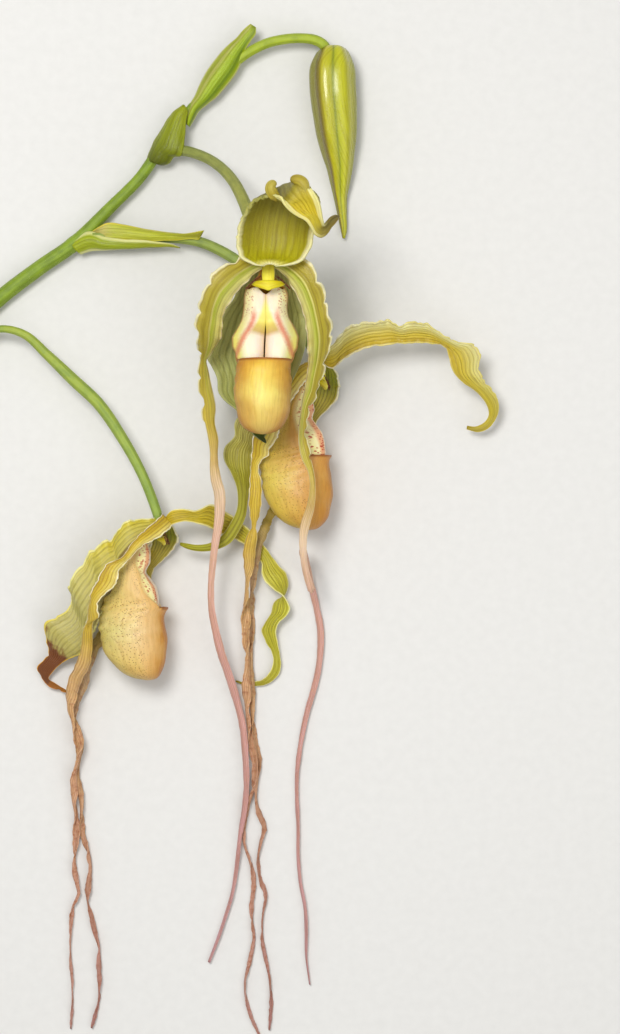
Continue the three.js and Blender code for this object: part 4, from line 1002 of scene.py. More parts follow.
# %% Petals
PETALS = {
    "petal_left_a": [
        [-19.4, 103.3, 62, -18.6, 100.9, 62, 0], [-23.4, 104.6, 65, -20.6, 99.8, 63, 0.6],
        [-27.8, 104.4, 68, -24.7, 96.2, 64, 1], [-32.6, 102.2, 70, -27.9, 92.9, 65, 1.4],
        [-37, 98.9, 71, -30.3, 89.7, 65, 1.6], [-40.8, 94.9, 70.5, -32.5, 86.9, 64, 1.6],
        [-42.9, 90.2, 69, -34.4, 83.8, 62, 1.6], [-44.6, 85.1, 66.5, -35.5, 80.4, 59, 1.6],
        [-46.1, 79.3, 63, -35.8, 76.1, 56, 1.6], [-46.2, 73.6, 57.5, -37, 72, 51, 1.4],
        [-45.4, 68.9, 51, -39.8, 68.5, 47, 1], [-44.8, 65.1, 45.5, -42.6, 64.8, 43.5, 0.4],
        [-45.5, 60.2, 42, -41.9, 59.5, 39.5, 0.6], [-45.5, 53.7, 38.5, -40.6, 53, 37, 0.8],
        [-44.7, 46.8, 36, -39.2, 46, 34.5, 0.9], [-43.8, 40.3, 34, -39.7, 39.5, 33, 0.9],
        [-42.4, 33.3, 32, -38.3, 32.5, 31, 0.9], [-41.6, 27.1, 30, -38.6, 26.5, 29, 0.9],
        [-40, 21.3, 28, 1.7, 0, 0.85], [-39.2, 15.4, 27, 2.1, 0, 1.05], [-37.8, 10, 25.5, 2.2, 0, 1.1],
        [-37.7, 4.2, 24.5, 2.1, 0, 1.05], [-38.3, -2.9, 23, 1.8, 0, 0.9],
        [-39.6, -10.1, 21.5, 1.5, 0, 0.75], [-40.6, -17.6, 20.5, 1.35, 0, 0.54],
        [-41.6, -29.4, 18.5, 1.25, 0, 0.5], [-41.3, -39.2, 17, 1.4, 10, 0.56],
        [-39.6, -48.5, 15, 1.5, 0, 0.6], [-37.4, -57.9, 12, 1.7, 0, 0.68],
        [-34.8, -65.7, 8.5, 1.7, 0, 0.68], [-30.5, -80.5, 4.2, 1.6, 0, 0.88],
        [-28.5, -89.5, 5, 1.5, 0, 0.83], [-27.5, -100.5, 5.2, 1.5, 0, 0.83],
        [-27, -114.5, 4.8, 1.4, 0, 0.77], [-28, -125.5, 4.2, 1.3, 0, 0.72],
        [-29.5, -134.5, 3, 1.2, 0, 0.66], [-30.5, -143, 2.6, 1.1, 0, 0.61],
        [-31.5, -151.5, 1.2, 1.1, 0, 0.61], [-33, -160.5, 1.2, 1.05, 0, 0.58],
        [-35.5, -169, 1.2, 1, 0, 0.55], [-39, -179.5, 1.2, 0.95, 0, 0.52], [-43, -190, 1.2, 0.8, 0, 0.44],
    ],
    "petal_right_a": [
        [-14.2, 100.9, 62, -16.6, 103.3, 62, 0], [-12.1, 99.6, 63, -11.3, 104.6, 65, 0.6],
        [-8.9, 95.8, 64, -6.4, 104.8, 68, 1], [-6.3, 91.7, 65, -2, 103, 70, 1.4],
        [-4.4, 87.7, 65, 1.6, 99.9, 71, 1.6], [-3, 83.3, 64, 4, 94.9, 70.5, 1.6],
        [-1.8, 79, 62, 5.8, 89.4, 69, 1.6], [-1.2, 74.7, 60, 7.5, 82.7, 66.5, 1.6],
        [-1, 70.4, 57, 8.5, 76.1, 63, 1.6], [-0.8, 66.1, 53, 7.9, 69.9, 58.5, 1.4],
        [-0.8, 61.8, 49.5, 6.3, 64.1, 53, 1.4], [-1.4, 57.1, 46, 4.9, 58.2, 48.5, 1.4],
        [-2.3, 52.3, 43, 3.5, 52.4, 44.5, 1.2], [-3.1, 48.3, 41, 0.8, 47.4, 41.5, 1],
        [-3.7, 44.2, 39.5, -1, 43.4, 39.5, 0.8], [-3.1, 38.4, 38.5, 1.35, 0, 0.68],
        [-3.3, 31.9, 37.5, 1.4, 0, 0.7], [-1.7, 24.8, 37, 1.7, 0, 0.85], [0.4, 18.8, 36.5, 1.1, 0, 0.55],
        [1.1, 12.6, 36, 1.1, 0, 0.55], [0.2, 4.1, 35, 1.5, 0, 0.75], [-1.7, -2.1, 34, 1.8, 0, 0.9],
        [-2.7, -7.1, 33, 1.6, 0, 0.8], [-2.8, -15, 31, 1.3, 0, 0.65], [-1.9, -21.7, 28, 1.3, 0, 0.65],
        [0.6, -30.6, 23, 1.4, 0, 0.7], [-3, -14, 14, 1.5, 0, 0.83], [-1.5, -22.5, 6, 1.5, 0, 0.83],
        [1, -31, 2, 1.4, 0, 0.77], [3, -39.5, 1.2, 1.4, 0, 0.77], [4.5, -48, 1.2, 1.4, 0, 0.77],
        [4.5, -56.5, 1.2, 1.4, 0, 0.77], [3.5, -65.5, 1.2, 1.3, 0, 0.72], [1.5, -74, 1.2, 1.3, 0, 0.72],
        [-1, -82.5, 1.2, 1.25, 0, 0.69], [-3, -91.5, 1.2, 1.2, 0, 0.66], [-4.5, -100.5, 1.2, 1.1, 0, 0.61],
        [-5.5, -110, 1.2, 1, 0, 0.55], [-5.5, -121, 1.2, 0.95, 0, 0.52], [-5, -132.5, 1.2, 0.9, 0, 0.5],
        [-5, -144, 1.2, 0.9, 0, 0.5], [-4, -156, 1.2, 0.95, 0, 0.52], [-2, -166.5, 1.2, 1, 0, 0.55],
        [-1.5, -176, 1.2, 1, 0, 0.55], [-1.5, -187, 1.2, 0.7, 0, 0.39], [0, -199.5, 1.2, 0.4, 0, 0.22],
    ],
    "petal_near_b": [
        [2.9, 66, 19.7, 5.9, 63.4, 19.7, 0], [-1.7, 64.9, 23, 2.5, 59.9, 24, 1],
        [-5.9, 62.3, 26, -1.3, 57.2, 27.5, 1.5], [-10, 58, 28, -5, 52.5, 29, 1.5],
        [-14.2, 52.9, 29, -8.3, 47.5, 30, 1.5], [-17.9, 47.5, 29.5, -10.8, 42.1, 30, 1.5],
        [-20.8, 42.1, 29, -12.5, 37.1, 29.5, 1.5], [-22.9, 36.3, 28, -13.8, 32.5, 28.5, 1.2],
        [-24, 30.9, 26.5, -16.9, 28.6, 27, 1], [-24.5, 25.9, 25, -17.3, 25.7, 26.5, 0.6],
        [-24.7, 22.6, 24, -20.7, 23, 26, 0.4], [-24.8, 19.7, 23, -21.6, 19.7, 24, 0.4],
        [-22.9, 16.3, 22.5, 2.1, 0, 1.05], [-22.8, 12.6, 22, 2.4, 0, 1.2], [-22.9, 8.8, 21.5, 2.7, 0, 1.35],
        [-23.1, 5, 20.5, 2.5, 0, 1.25], [-23.2, 1.7, 19.5, 2.1, 0, 1.05], [-23.5, -1.7, 18.5, 1.2, 0, 0.6],
        [-23.6, -3.8, 18, 0.8, 0, 0.4], [-23.9, -6.7, 17.5, 1.6, 0, 0.8], [-25, -11, 16.5, 2.5, 0, 1.25],
        [-25.6, -14.8, 15.5, 2.4, 0, 1.2], [-25.7, -19, 14.5, 2.2, 0, 1.1], [-26, -24.1, 13, 1.8, 0, 0.9],
        [-26.1, -29.6, 11.5, 2, 0, 1], [-26.4, -34.5, 9.5, 2.1, 0, 1.15], [-27, -39.5, 5, 2.1, 0, 1.16],
        [-27.5, -50, 4.5, 2, 0, 1.1], [-27, -61, 4.5, 2, 0, 1.1], [-27, -71.5, 5.6, 1.9, 0, 1.04],
        [-26.5, -80.5, 3.3, 1.7, 0, 0.94], [-25.5, -90, 3, 1.7, 0, 0.94], [-24.5, -99, 2.8, 1.5, 0, 0.83],
        [-23.5, -107, 2.6, 1.5, 0, 0.83], [-24.5, -115.5, 2.7, 1.4, 0, 0.77],
        [-27, -123.5, 2.3, 1.4, 0, 0.77], [-28.5, -132.5, 1.1, 1.1, 0, 0.61],
        [-27.5, -140.5, 1.1, 1, 0, 0.55], [-25, -148, 1.1, 1, 0, 0.55], [-24, -156.5, 1.1, 0.9, 0, 0.5],
        [-25, -165.5, 1.1, 0.9, 0, 0.5], [-25, -172, 1.1, 0.9, 0, 0.5], [-24, -179.5, 1.1, 0.8, 0, 0.44],
        [-25.5, -188.5, 1.1, 0.8, 0, 0.44], [-27.5, -198, 1.1, 0.8, 0, 0.44],
        [-27, -206, 1.1, 0.8, 0, 0.44], [-25, -213.5, 1.1, 0.7, 0, 0.39],
        [-21.5, -221.5, 1.1, 0.5, 0, 0.28],
    ],
    "petal_far_b": [
        [4.6, 65.4, 14, 6.8, 64.6, 14, 0], [3.4, 63, 11.5, 9.9, 63, 11.5, 0.6],
        [1.7, 59.3, 9.5, 12, 59.6, 9, -0.8], [0.4, 54.8, 7.5, 12.7, 54.8, 7, -1],
        [-0.4, 50.6, 5.8, 11.6, 50.2, 5.6, -0.6], [-1.3, 46.8, 4.4, 8.1, 46.4, 4, 0.4],
        [-3, 42.2, 3, 3.2, 41.3, 3, 0.8], [-5.1, 35, 2, 1.7, 34.1, 2, 0.6],
        [-8.1, 28.1, 1.8, -1.7, 27.3, 1.8, 0.5], [-11.1, 20.9, 1.8, -5.1, 19.6, 1.8, 0.4],
        [-12.8, 11.5, 2.4, 2.4, 0, 0.3], [-14.5, 6, 3.6, 1.9, 0, 0.3], [-16.4, 1.7, 5, 1.7, 0, 0.3],
        [-18.1, -1.7, 6.5, 1.8, 0, 0.3], [-19, -4.5, 9, 1.9, 0, 1.04], [-21.5, -10.5, 9.6, 1.8, 0, 0.99],
        [-23, -17.5, 9, 1.7, 0, 0.94], [-24, -25, 6.4, 1.6, 0, 0.88], [-24.5, -34.5, 3, 1.5, 0, 0.83],
        [-25, -46, 1.2, 1.5, 0, 0.83], [-25.5, -59, 1.6, 1.5, 0, 0.83], [-25, -71, 2.8, 1.5, 0, 0.83],
        [-24.5, -81.5, 1.4, 1.4, 0, 0.77], [-23.5, -93, 1.2, 1.4, 0, 0.77], [-22, -103, 1.1, 1.3, 0, 0.72],
        [-23, -113, 1.1, 1.3, 0, 0.72], [-23.5, -120, 1.1, 1.3, 0, 0.72], [-22, -126, 1.1, 1.1, 0, 0.61],
        [-19.5, -132.5, 1.1, 1, 0, 0.55], [-21, -139.5, 1.1, 1, 0, 0.55], [-22, -147, 1.1, 0.9, 0, 0.5],
        [-21, -155, 1.1, 0.9, 0, 0.5], [-19, -161.5, 1.1, 0.9, 0, 0.5], [-20.5, -170.5, 1.1, 0.8, 0, 0.44],
        [-20.5, -180, 1.1, 0.8, 0, 0.44], [-19, -188, 1.1, 0.8, 0, 0.44], [-17, -197.5, 1.1, 0.8, 0, 0.44],
        [-16.5, -208, 1.1, 0.8, 0, 0.44], [-17.5, -219, 1.1, 0.5, 0, 0.28],
    ],
    "petal_near_c": [
        [-62.2, 1.3, 19.2, -57.4, -3.4, 19.2, 0], [-64.5, -1.7, 23, -59.5, -5.4, 23.5, 0.6],
        [-67.3, -4.2, 26, -62.4, -7.9, 26.5, 1], [-70.1, -6.7, 28.5, -65.9, -10, 28.5, 1],
        [-73.1, -9.6, 30.5, -69.1, -11.7, 30.5, 0.8], [-75.7, -13.5, 32, -72.2, -14.1, 31.5, 0.8],
        [-78.5, -17.2, 33, -74.8, -17, 32.5, 0.8], [-83.9, -19.3, 33.5, -77.3, -19.7, 33, 0.6],
        [-86.4, -22.4, 33.5, -79.5, -22.8, 33, 0.6], [-88.3, -26.2, 33, -80, -26.4, 33, 0.4],
        [-90.2, -29.5, 32, -82, -29.5, 33, 0.6], [-91.2, -32.5, 30.5, -85.6, -32.2, 33, 1],
        [-91.7, -35, 29, -87.7, -34.7, 32.5, 1], [-92.2, -37.6, 27.5, -88.3, -37, 31.8, 1],
        [-92.6, -40.1, 26, -88.2, -39.3, 30.6, 1], [-93, -42.7, 25, -87.8, -41.4, 29.4, 0.6],
        [-94.5, -45.7, 22.5, -90.8, -43.3, 24.5, 0.6], [-95.4, -48.7, 20, -91.4, -48.3, 21, 1.4],
        [-93.7, -52.2, 18, 2.1, 0, 1.3], [-94.1, -56, 16.5, 2.3, 0, 1.43], [-95.1, -60.3, 15, 2.6, 0, 1.61],
        [-97, -64.6, 13.5, 2.7, 0, 1.67], [-99.3, -68.9, 12, 2.5, 0, 1.55],
        [-100.6, -73.2, 11, 2.5, 0, 1.55], [-101.1, -77.9, 10, 2.4, 0, 1.49],
        [-101.1, -82.2, 9.3, 2, 0, 1.24], [-100.1, -85.6, 8.8, 1.7, 0, 1.05],
        [-98.5, -92.5, 7.6, 2.3, 0, 1.43], [-98.3, -98.5, 6.6, 2, 0, 1.24],
        [-100.5, -108.5, 4.8, 1.6, 0, 0.99], [-100.6, -113.7, 4, 1.4, 0, 0.87],
        [-100, -121.4, 3, 1.7, 0, 1.05], [-99.4, -127, 2.6, 1.2, 0, 0.74],
        [-99.5, -133.4, 2.4, 1.6, 0, 0.99], [-100.1, -139.8, 2.2, 1.4, 0, 0.87],
        [-100.7, -145.4, 2, 1, 0, 0.62], [-100.4, -150.9, 2, 1.15, 0, 0.71], [-99, -157.3, 2, 1.1, 0, 0.68],
        [-98.5, -160.5, 2, 0.9, 0, 0.56], [-100.5, -165.5, 1.9, 0.95, 0, 0.59],
        [-101.5, -169.3, 1.8, 0.85, 0, 0.53], [-102.1, -174.9, 1.7, 0.75, 0, 0.46],
        [-102.5, -183, 1.6, 0.6, 0, 0.37], [-102.2, -189.4, 1.6, 0.6, 0, 0.37],
        [-101.4, -197.5, 1.5, 0.6, 0, 0.37], [-101.2, -206.9, 1.5, 0.55, 0, 0.34],
        [-101.9, -215, 1.4, 0.5, 0, 0.31], [-102.1, -218.4, 1.3, 0.3, 0, 0.19],
    ],
    "petal_far_c": [
        [-62.5, -1.3, 14, -59.9, -2.5, 14, 0], [-64.7, -4.7, 11.5, -57.8, -4.4, 11, -0.4],
        [-66.7, -8.1, 9.5, -56, -7.8, 8.5, -1], [-67.9, -11.5, 7.5, -56.5, -11.7, 6.5, -0.8],
        [-68.7, -14.9, 5.6, -59.8, -15.5, 5, 0.3], [-69.8, -18.3, 4.2, -63.6, -19.4, 4.2, 0.8],
        [-71.6, -21.7, 3.2, -66.9, -22.6, 3.2, 0.8], [-72.9, -26, 2.2, -67.8, -27.7, 2.2, 0.6],
        [-76.8, -32, 1.8, -71.2, -34.1, 1.8, 0.4], [-81.9, -38.4, 1.8, -76.3, -41.4, 1.8, 0.3],
        [-87, -43.9, 2, -81.4, -48.2, 2, 0.3], [-90.8, -49.9, 2.6, -86.1, -53.3, 2.6, 0.3],
        [-92, -55.4, 3.5, 2, 0, 1.2], [-93.3, -60.4, 4.2, 1.8, 0, 1.08], [-95.1, -64.7, 4.4, 1.8, 0, 1.08],
        [-96.1, -69, 4.2, 2.1, 0, 1.26], [-97.1, -72.8, 4, 2, 0, 1.2], [-98.8, -76.6, 3.8, 1.5, 0, 0.9],
        [-99.9, -80.9, 3.6, 1.4, 0, 0.84], [-99.9, -86.5, 3.2, 1.5, 0, 0.9],
        [-98.5, -92.9, 2.8, 1.9, 0, 1.14], [-98.3, -99.3, 2.4, 1.5, 0, 0.9],
        [-99.1, -105.7, 2.2, 1.2, 0, 0.72], [-99.2, -110.4, 2.2, 1.1, 0, 0.66],
        [-98.3, -116, 2.2, 1.3, 0, 0.78], [-97.2, -121.5, 2.2, 1.4, 0, 0.84],
        [-96.9, -127, 2.2, 1.5, 0, 0.9], [-97.1, -132.6, 2.1, 1.4, 0, 0.84], [-96.8, -136, 2, 0.9, 0, 0.54],
        [-95.7, -139.9, 2, 1.3, 0, 0.78], [-94.7, -144.6, 2, 1.4, 0, 0.84],
        [-93.8, -149.2, 2, 0.9, 0, 0.54], [-94.2, -154.4, 2, 1.1, 0, 0.66],
        [-94.7, -160.3, 2, 1.2, 0, 0.72], [-94.4, -165.4, 2, 0.6, 0, 0.36], [-93, -171, 1.9, 1, 0, 0.6],
        [-91.7, -177.4, 1.9, 1, 0, 0.6], [-90.4, -183, 1.8, 1, 0, 0.6], [-90.1, -191.1, 1.8, 1, 0, 0.6],
        [-89.7, -199.2, 1.8, 0.9, 0, 0.54], [-89.8, -206, 1.7, 0.8, 0, 0.48],
        [-91.3, -211.6, 1.6, 0.8, 0, 0.48], [-93.3, -218, 1.5, 0.6, 0, 0.36],
    ],
}
# The pale stripe at 0.53, between the green at 0.47 and the olive at 0.59, is a painted highlight along the
# keel where the petal folds. The other bands are the petal's own colours.
PETAL_BANDS_WITH_KEEL_HIGHLIGHT = [       # share across from the inner margin to the outer one
    (0, "#A87848"), (0.03, "#C8B06C"), (0.08, "#DCD68C"), (0.26, "#D8D47A"), (0.38, "#C0C454"),
    (0.47, "#AEB632"),
    (0.53, "#DAD27A"), (0.59, "#B0A236"), (0.76, "#B2A22C"), (0.92, "#BAAA48"), (1, "#E0D8A4"),
]


def fresh_petal(name, bands, until):
    """A petal of the youngest flower: banded green and amber above, a pink tail below."""
    return tissue(
        name,
        [(0, "#BAB83A"), (0.16, "#BAAE38"), (0.27, "#CCB444"), (0.32, "#D4B46E"), (0.36, "#F0D4B6"),
         (0.42, "#E6BCA6"), (0.55, "#DAA89C"), (0.75, "#CE9A94"), (1, "#C29296")],
        "#B0A268", "#E6DEB4", veins=5, vein_strength=0.35, margin_until=0.28, bands=bands,
        bands_until=until, roughness=(0.24, 0.4),
    )


yellow_petal = tissue(
    "yellow_petal_tissue",
    [(0, "#D8BE22"), (0.1, "#DEC432"), (0.17, "#DAC03E"), (0.29, "#D8B846"), (0.35, "#D8B278"),
     (0.5, "#D6A880"), (0.75, "#CC9A84"), (1, "#C49690")],
    "#B8923C", "#FBF2D0", veins=5, vein_strength=0.5, roughness=(0.24, 0.42), margin_until=0.25,
    bands=[(0, "#BE9C22"), (0.3, "#CEB02C"), (0.52, "#DCC240"), (0.78, "#E6D470"), (1, "#F0E29C")],
    bands_until=0.24,
    weather="#9A5A38", weather_from=0.3,
)
green_petal = tissue(
    "green_petal_tissue",
    [(0, "#9A9A1C"), (0.035, "#8A8E1C"), (0.065, "#BCAE3C"), (0.16, "#BEAE4C"), (0.26, "#B49C4C"),
     (0.33, "#D6B48C"), (0.5, "#D2A678"), (0.75, "#C89480"), (1, "#C08C88")],
    "#84883C", "#F4EED0", veins=8, vein_strength=0.45, roughness=(0.3, 0.45), margin_from=0.84,
    margin_until=0.1,
    weather="#9A5C3A", weather_from=0.2,
)
petal_finish = {
    "petal_left_a": fresh_petal(
        "left_petal_tissue", [(1 - at, colour) for at, colour in reversed(PETAL_BANDS_WITH_KEEL_HIGHLIGHT)], 0.27
    ),
    "petal_right_a": fresh_petal("right_petal_tissue", PETAL_BANDS_WITH_KEEL_HIGHLIGHT, 0.32),
    "petal_near_b": yellow_petal, "petal_near_c": yellow_petal,
    "petal_far_b": green_petal, "petal_far_c": green_petal,
}
PETAL_LOBES = {"petal_left_a": (2.3, 0.1), "petal_right_a": (0.1, 2.3)}
TAIL_TURNS = 1300       # degrees by which a dry tail twists along its length
for number, (node, stations) in enumerate(PETALS.items()):
    dry, turned = (0.1, 60) if node.endswith("_a") else (0.35, TAIL_TURNS)
    piece = leaf(
        node + "_blade", stations, cells=26, step=1.1, ruffle=[(0, 0), (0.03, 1.0), (0.2, 0.9), (0.27, 0)],
        ruffle_length=11 if node.endswith("_a") else 5.5, scallop=PETAL_LOBES.get(node, (0.6, 0.6)),
        crinkle=[(0, 0.5 * dry), (0.2, dry), (1, dry)], turns=[(0, 0), (0.15, 0), (1, turned)], bead=0.2,
        seed=100 + 10 * number,
    )
    take_place(piece, node, petal_finish[node])

# %% [markdown]
# ## The lip
#
# The lip of a slipper orchid is one petal that has grown into a pouch. Its wall comes down from the
# flower as an open trough. The two margins of the trough fold inwards and meet in a slit in front, and
# below them the trough closes and becomes the pouch, with a free front rim. The wall is worked out from
# a profile: for each depth below the flower's centre, how far back, how far forward and how wide the
# wall is, and at what angle from the front it folds. The folded margins hang on the same points, so
# that the skin runs on around the fold, as it does in the flower.

# %% Lip shape
FLOWERS = {
    "a": {
        "centre": (-18, 103.5, 62), "forward": (0, 0, 1), "down": (0, -1, 0),
        "ears": 1, "lean": -1.3, "shield_shift": 1.1,
    },
    "b": {
        "centre": (4, 65.5, 17), "forward": (1, 0, 0), "down": (0, -1, 0),
        "folds": [(12, 102), (22, 104), (27, 100), (33, 92), (37, 86), (39.3, 84)],
        "depths": [(0, 0), (39.3, 39.6), (69.9, 71)],
    },
    "c": {
        "centre": (-64, 0, 16.5), "forward": (1, 0, 0), "down": (0, -1, 0), "drawn_in": 1.6,
        "folds": [(13, 88), (20, 84), (24, 72), (28, 75), (32, 75), (35, 66), (37.5, 50), (39.3, 44)],
        "depths": [(0, 0), (20, 19.4), (39.3, 38.2), (69.9, 68.8)],
    },
}
TOE = 69.9
RIM = 39.3
LIP = [     # down, back, widest place, front, half width
    [69.7, -6, -3.6, -2.3, 2.2], [69.0, -9.8, -4, -0.4, 4.8], [67.3, -14, -5, 1.7, 7.6],
    [64.6, -17.6, -6, 3.8, 9.5], [60.6, -20.8, -7, 5.0, 10.9], [54.6, -23.4, -8, 5.4, 11.6],
    [47, -25.2, -8.5, 4.7, 11.5], [43.2, -25, -8, 4.2, 11.3], [40.8, -24.3, -7, 4.8, 11.2],
    [RIM, -23.8, -6, 5.9, 11.3], [36.5, -22.7, -6.6, 5, 11.4], [34, -21.4, -7.5, 4, 11.5],
    [30, -19.6, -9, 3, 11.3],
    [26, -17.8, -10, 2, 10.6], [22, -16, -10.5, 1, 9.8], [18, -14, -10.3, 0, 9], [12, -10, -7.5, 0, 8.6],
    [9, -7.8, -5.8, 0, 7], [6, -5.6, -4, 0, 3.6], [0.8, -2, -0.8, 0, 1.6],
]
EARS = [        # down, and how much wider the wall is in the flower in front
    (22, 0), (26, 1.2), (30, 2.3), (34, 1.7), (36.5, 1.0), (39.3, 0.2), (43.2, -0.2), (47, 0),
]
FOLDS = [(0, 84), (RIM, 84)]    # down, and the angle from the front at which the wall folds inwards
LOBE_TOP = 9.6              # where the folded margins begin, below the flower's centre
LOBE_NOTCH = 2.8            # how much lower they begin in the middle
LOBE_END = 45               # where they end, inside the pouch
LOBE_FRONT = [              # down and forward of the margins' foremost line
    (11, -4.5), (16, -3), (20, -2), (24, -3.2), (27, -1), (30, 1.2), (34, 2.2), (39, 2.6), (45, 1),
]
SLIT = 0.08                 # half of the gap between them
LIP_WALL = 0.8          # thickness of the skin
BACK_CELLS, FRONT_CELLS, LOBE_CELLS = 44, 20, 14


def in_flower(flower, across, forward, down):
    """Places, in millimetres, from distances along a flower's own axes."""
    ahead, below = np.array(flower["forward"], float), np.array(flower["down"], float)
    side = np.cross(ahead, below)
    parts = np.broadcast_arrays(*(np.asarray(v, float)[..., None] for v in (across, forward, down)))
    return np.array(flower["centre"], float) + parts[0] * side + parts[1] * ahead + parts[2] * below


def wall_at(row, angle):
    """Across and forward of the lip's wall at an angle from the front."""
    back, widest, front, half = row[1:5]
    deep = np.where(np.cos(angle) > 0, front - widest, widest - back)
    return half * np.sin(angle), widest + deep * np.cos(angle)


def smooth_step(value, low, high):
    """Rises smoothly from 0 to 1 between two values."""
    t = np.clip((value - low) / (high - low), 0, 1)
    return t * t * (3 - 2 * t)


def fold_at(flower, down):
    """The angle from the front at which a lip's wall folds inwards."""
    return math.radians(np.interp(min(down, RIM), *zip(*flower.get("folds", FOLDS))))


def lip_places(flower, across, forward, down):
    """Places of a lip's points, with the lean and the depths of its own flower."""
    down = np.asarray(down, float)
    lean = flower.get("lean", 0) * (0.4 * smooth_step(down, 24, 38) + 0.6 * smooth_step(down, 38, 52))
    deep = np.interp(down, *zip(*flower.get("depths", [(0, 0), (100, 100)])))
    return in_flower(flower, across + lean, forward, deep)


def lip(name, flower, seed):
    """The pouch with its folded margins, as one skin."""
    rows = smooth_run(LIP, 1.2)
    rows[:, 4] += flower.get("ears", 0) * np.interp(rows[:, 0], *zip(*EARS))
    drawn_in = flower.get("drawn_in", 0) * smooth_step(rows[:, 0], 14, 24) * (
        1 - smooth_step(rows[:, 0], 64, TOE)
    )
    rows[:, 3] -= drawn_in
    rim = int(np.argmin(np.abs(rows[:, 0] - RIM)))
    places, run, flat, lobe = [], [], [], []

    def wall_points(row, angles):
        across, forward = wall_at(row, angles)
        away = np.abs(np.arctan2(np.sin(angles), np.cos(angles)))
        down = np.full(len(angles), row[0])
        fold_wrinkle = 0.4 * np.sin(2 * math.pi * (row[0] + 5 * np.cos(angles)) / 4.2)
        neck = smooth_step(row[0], 30, 38) * (1 - smooth_step(row[0], 46, 58)) * smooth_step(away, 0.9, 1.6)
        lump = 0.35 * wobble(row[0] + 9 * np.sin(angles + seed), 19, seed) * smooth_step(TOE - row[0], 0, 12)
        swell = 1 + (fold_wrinkle * neck + lump + 0.05 * np.cos(26 * angles)) / 11
        middle = row[2]
        points = lip_places(flower, across * swell, middle + (forward - middle) * swell, down)
        places.extend(points)
        run.extend(zip(angles / math.pi - np.where(angles > math.pi, 2, 0), down / TOE, down * 0))
        flat.extend(zip(11 * angles, down, down * 0))
        lobe.extend((0, (row[0] - LOBE_TOP) / (LOBE_END - LOBE_TOP), 0.0) for _ in angles)

    for number, row in enumerate(rows):
        fold = fold_at(flower, row[0])
        wall_points(row, np.linspace(fold, 2 * math.pi - fold, BACK_CELLS + 1))
        if number <= rim:
            wall_points(row, 2 * math.pi + np.linspace(-fold, fold, FRONT_CELLS + 1)[1:-1])
    ring = BACK_CELLS + FRONT_CELLS

    def at(i, k):
        if i <= rim:
            return i * ring + k % ring
        return (rim + 1) * ring + (i - rim - 1) * (BACK_CELLS + 1) + k

    faces = []
    for i in range(len(rows) - 1):
        for k in range(ring if i < rim else BACK_CELLS):
            faces.append((at(i, k), at(i, k + 1), at(i + 1, k + 1), at(i + 1, k)))
    toe = len(places)
    places.extend(lip_places(flower, np.zeros(1), np.array([-4.7]), [TOE]))
    run.append((0, 1, 0))
    flat.append((0, TOE, 0))
    lobe.append((0, 1, 0))
    faces.extend((toe, at(0, k + 1), at(0, k)) for k in range(ring))

    kept = [i for i in range(len(rows) - 1, rim - 1, -1) if rows[i, 0] >= LOBE_TOP - 0.01]
    inside = [[LOBE_END - 4.5 + 1.5 * k] for k in range(4)]
    for sign, column in ((1, 0), (-1, BACK_CELLS)):
        grid = []
        for row in [rows[i] for i in kept] + inside:
            down = row[0]
            shell = rows[int(np.argmin(np.abs(rows[:, 0] - down)))]
            x, f = wall_at(shell, fold_at(flower, down))
            if len(row) == 1:
                x, f = 0.84 * x, shell[2]
            t = np.linspace(0, 1, LOBE_CELLS + 1)
            top = LOBE_TOP + LOBE_NOTCH * smooth_step(t, 0.55, 1) + 1.6 * (1 - t) ** 6
            deep = top + (down - LOBE_TOP) * (LOBE_END - top) / (LOBE_END - LOBE_TOP)
            open_slit = smooth_step(deep, 23, 29)
            swell = np.sin(np.minimum(t / 0.5, 1) * math.pi / 2) - (0.05 + 0.16 * open_slit) * smooth_step(
                t, 0.75, 1
            )
            across = sign * (x * (1 - t) ** 0.9 + (SLIT * open_slit - 0.15 * (1 - open_slit)) * t)
            front = np.interp(deep, *zip(*LOBE_FRONT)) - 1.4 * flower.get("drawn_in", 0) * smooth_step(
                deep, 14, 24
            )
            forward = f + (front - f) * swell
            points = lip_places(flower, across, forward, deep)
            first = len(places)
            places.extend(points)
            share = (down - LOBE_TOP) / (LOBE_END - LOBE_TOP)
            lobe.extend(zip(sign * t, deep * 0 + share, np.where(t < 0.01, 0.5, 1.0)))
            run.extend((0.4 * sign, down / TOE, 0) for _ in t)
            flat.extend(zip(across, deep, t * 0 + 40))
            grid.append(list(range(first, first + LOBE_CELLS + 1)))
        for line, i in zip(grid, kept):
            line[0] = at(i, column)
        for upper, lower in zip(grid, grid[1:]):
            for k in range(LOBE_CELLS):
                faces.append((upper[k], upper[k + 1], lower[k + 1], lower[k]))
    used = sorted({i for f in faces for i in f})
    place_of = {old: new for new, old in enumerate(used)}
    faces = [tuple(place_of[i] for i in f) for f in faces]
    picked = [np.array(values)[used] for values in (places, run, flat, lobe)]
    piece = mesh_piece(name, picked[0], faces, picked[1], picked[2])
    layer = piece.data.attributes.new("lobe", "FLOAT_VECTOR", "POINT")
    layer.data.foreach_set("vector", picked[3].astype(np.float32).ravel())
    shape = bmesh.new()
    shape.from_mesh(piece.data)
    bmesh.ops.recalc_face_normals(shape, faces=shape.faces)
    shape.faces.ensure_lookup_table()
    lowest = max(shape.faces, key=lambda f: f.calc_center_median().dot(Vector(flower["down"])))
    if lowest.normal.dot(Vector(flower["down"])) < 0:
        bmesh.ops.reverse_faces(shape, faces=shape.faces)
    shape.to_mesh(piece.data)
    shape.free()
    wall = piece.modifiers.new("wall", "SOLIDIFY")
    wall.thickness = LIP_WALL * MM
    wall.offset = -1
    smooth = piece.modifiers.new("smooth", "SUBSURF")
    smooth.levels = smooth.render_levels = 1
    return piece


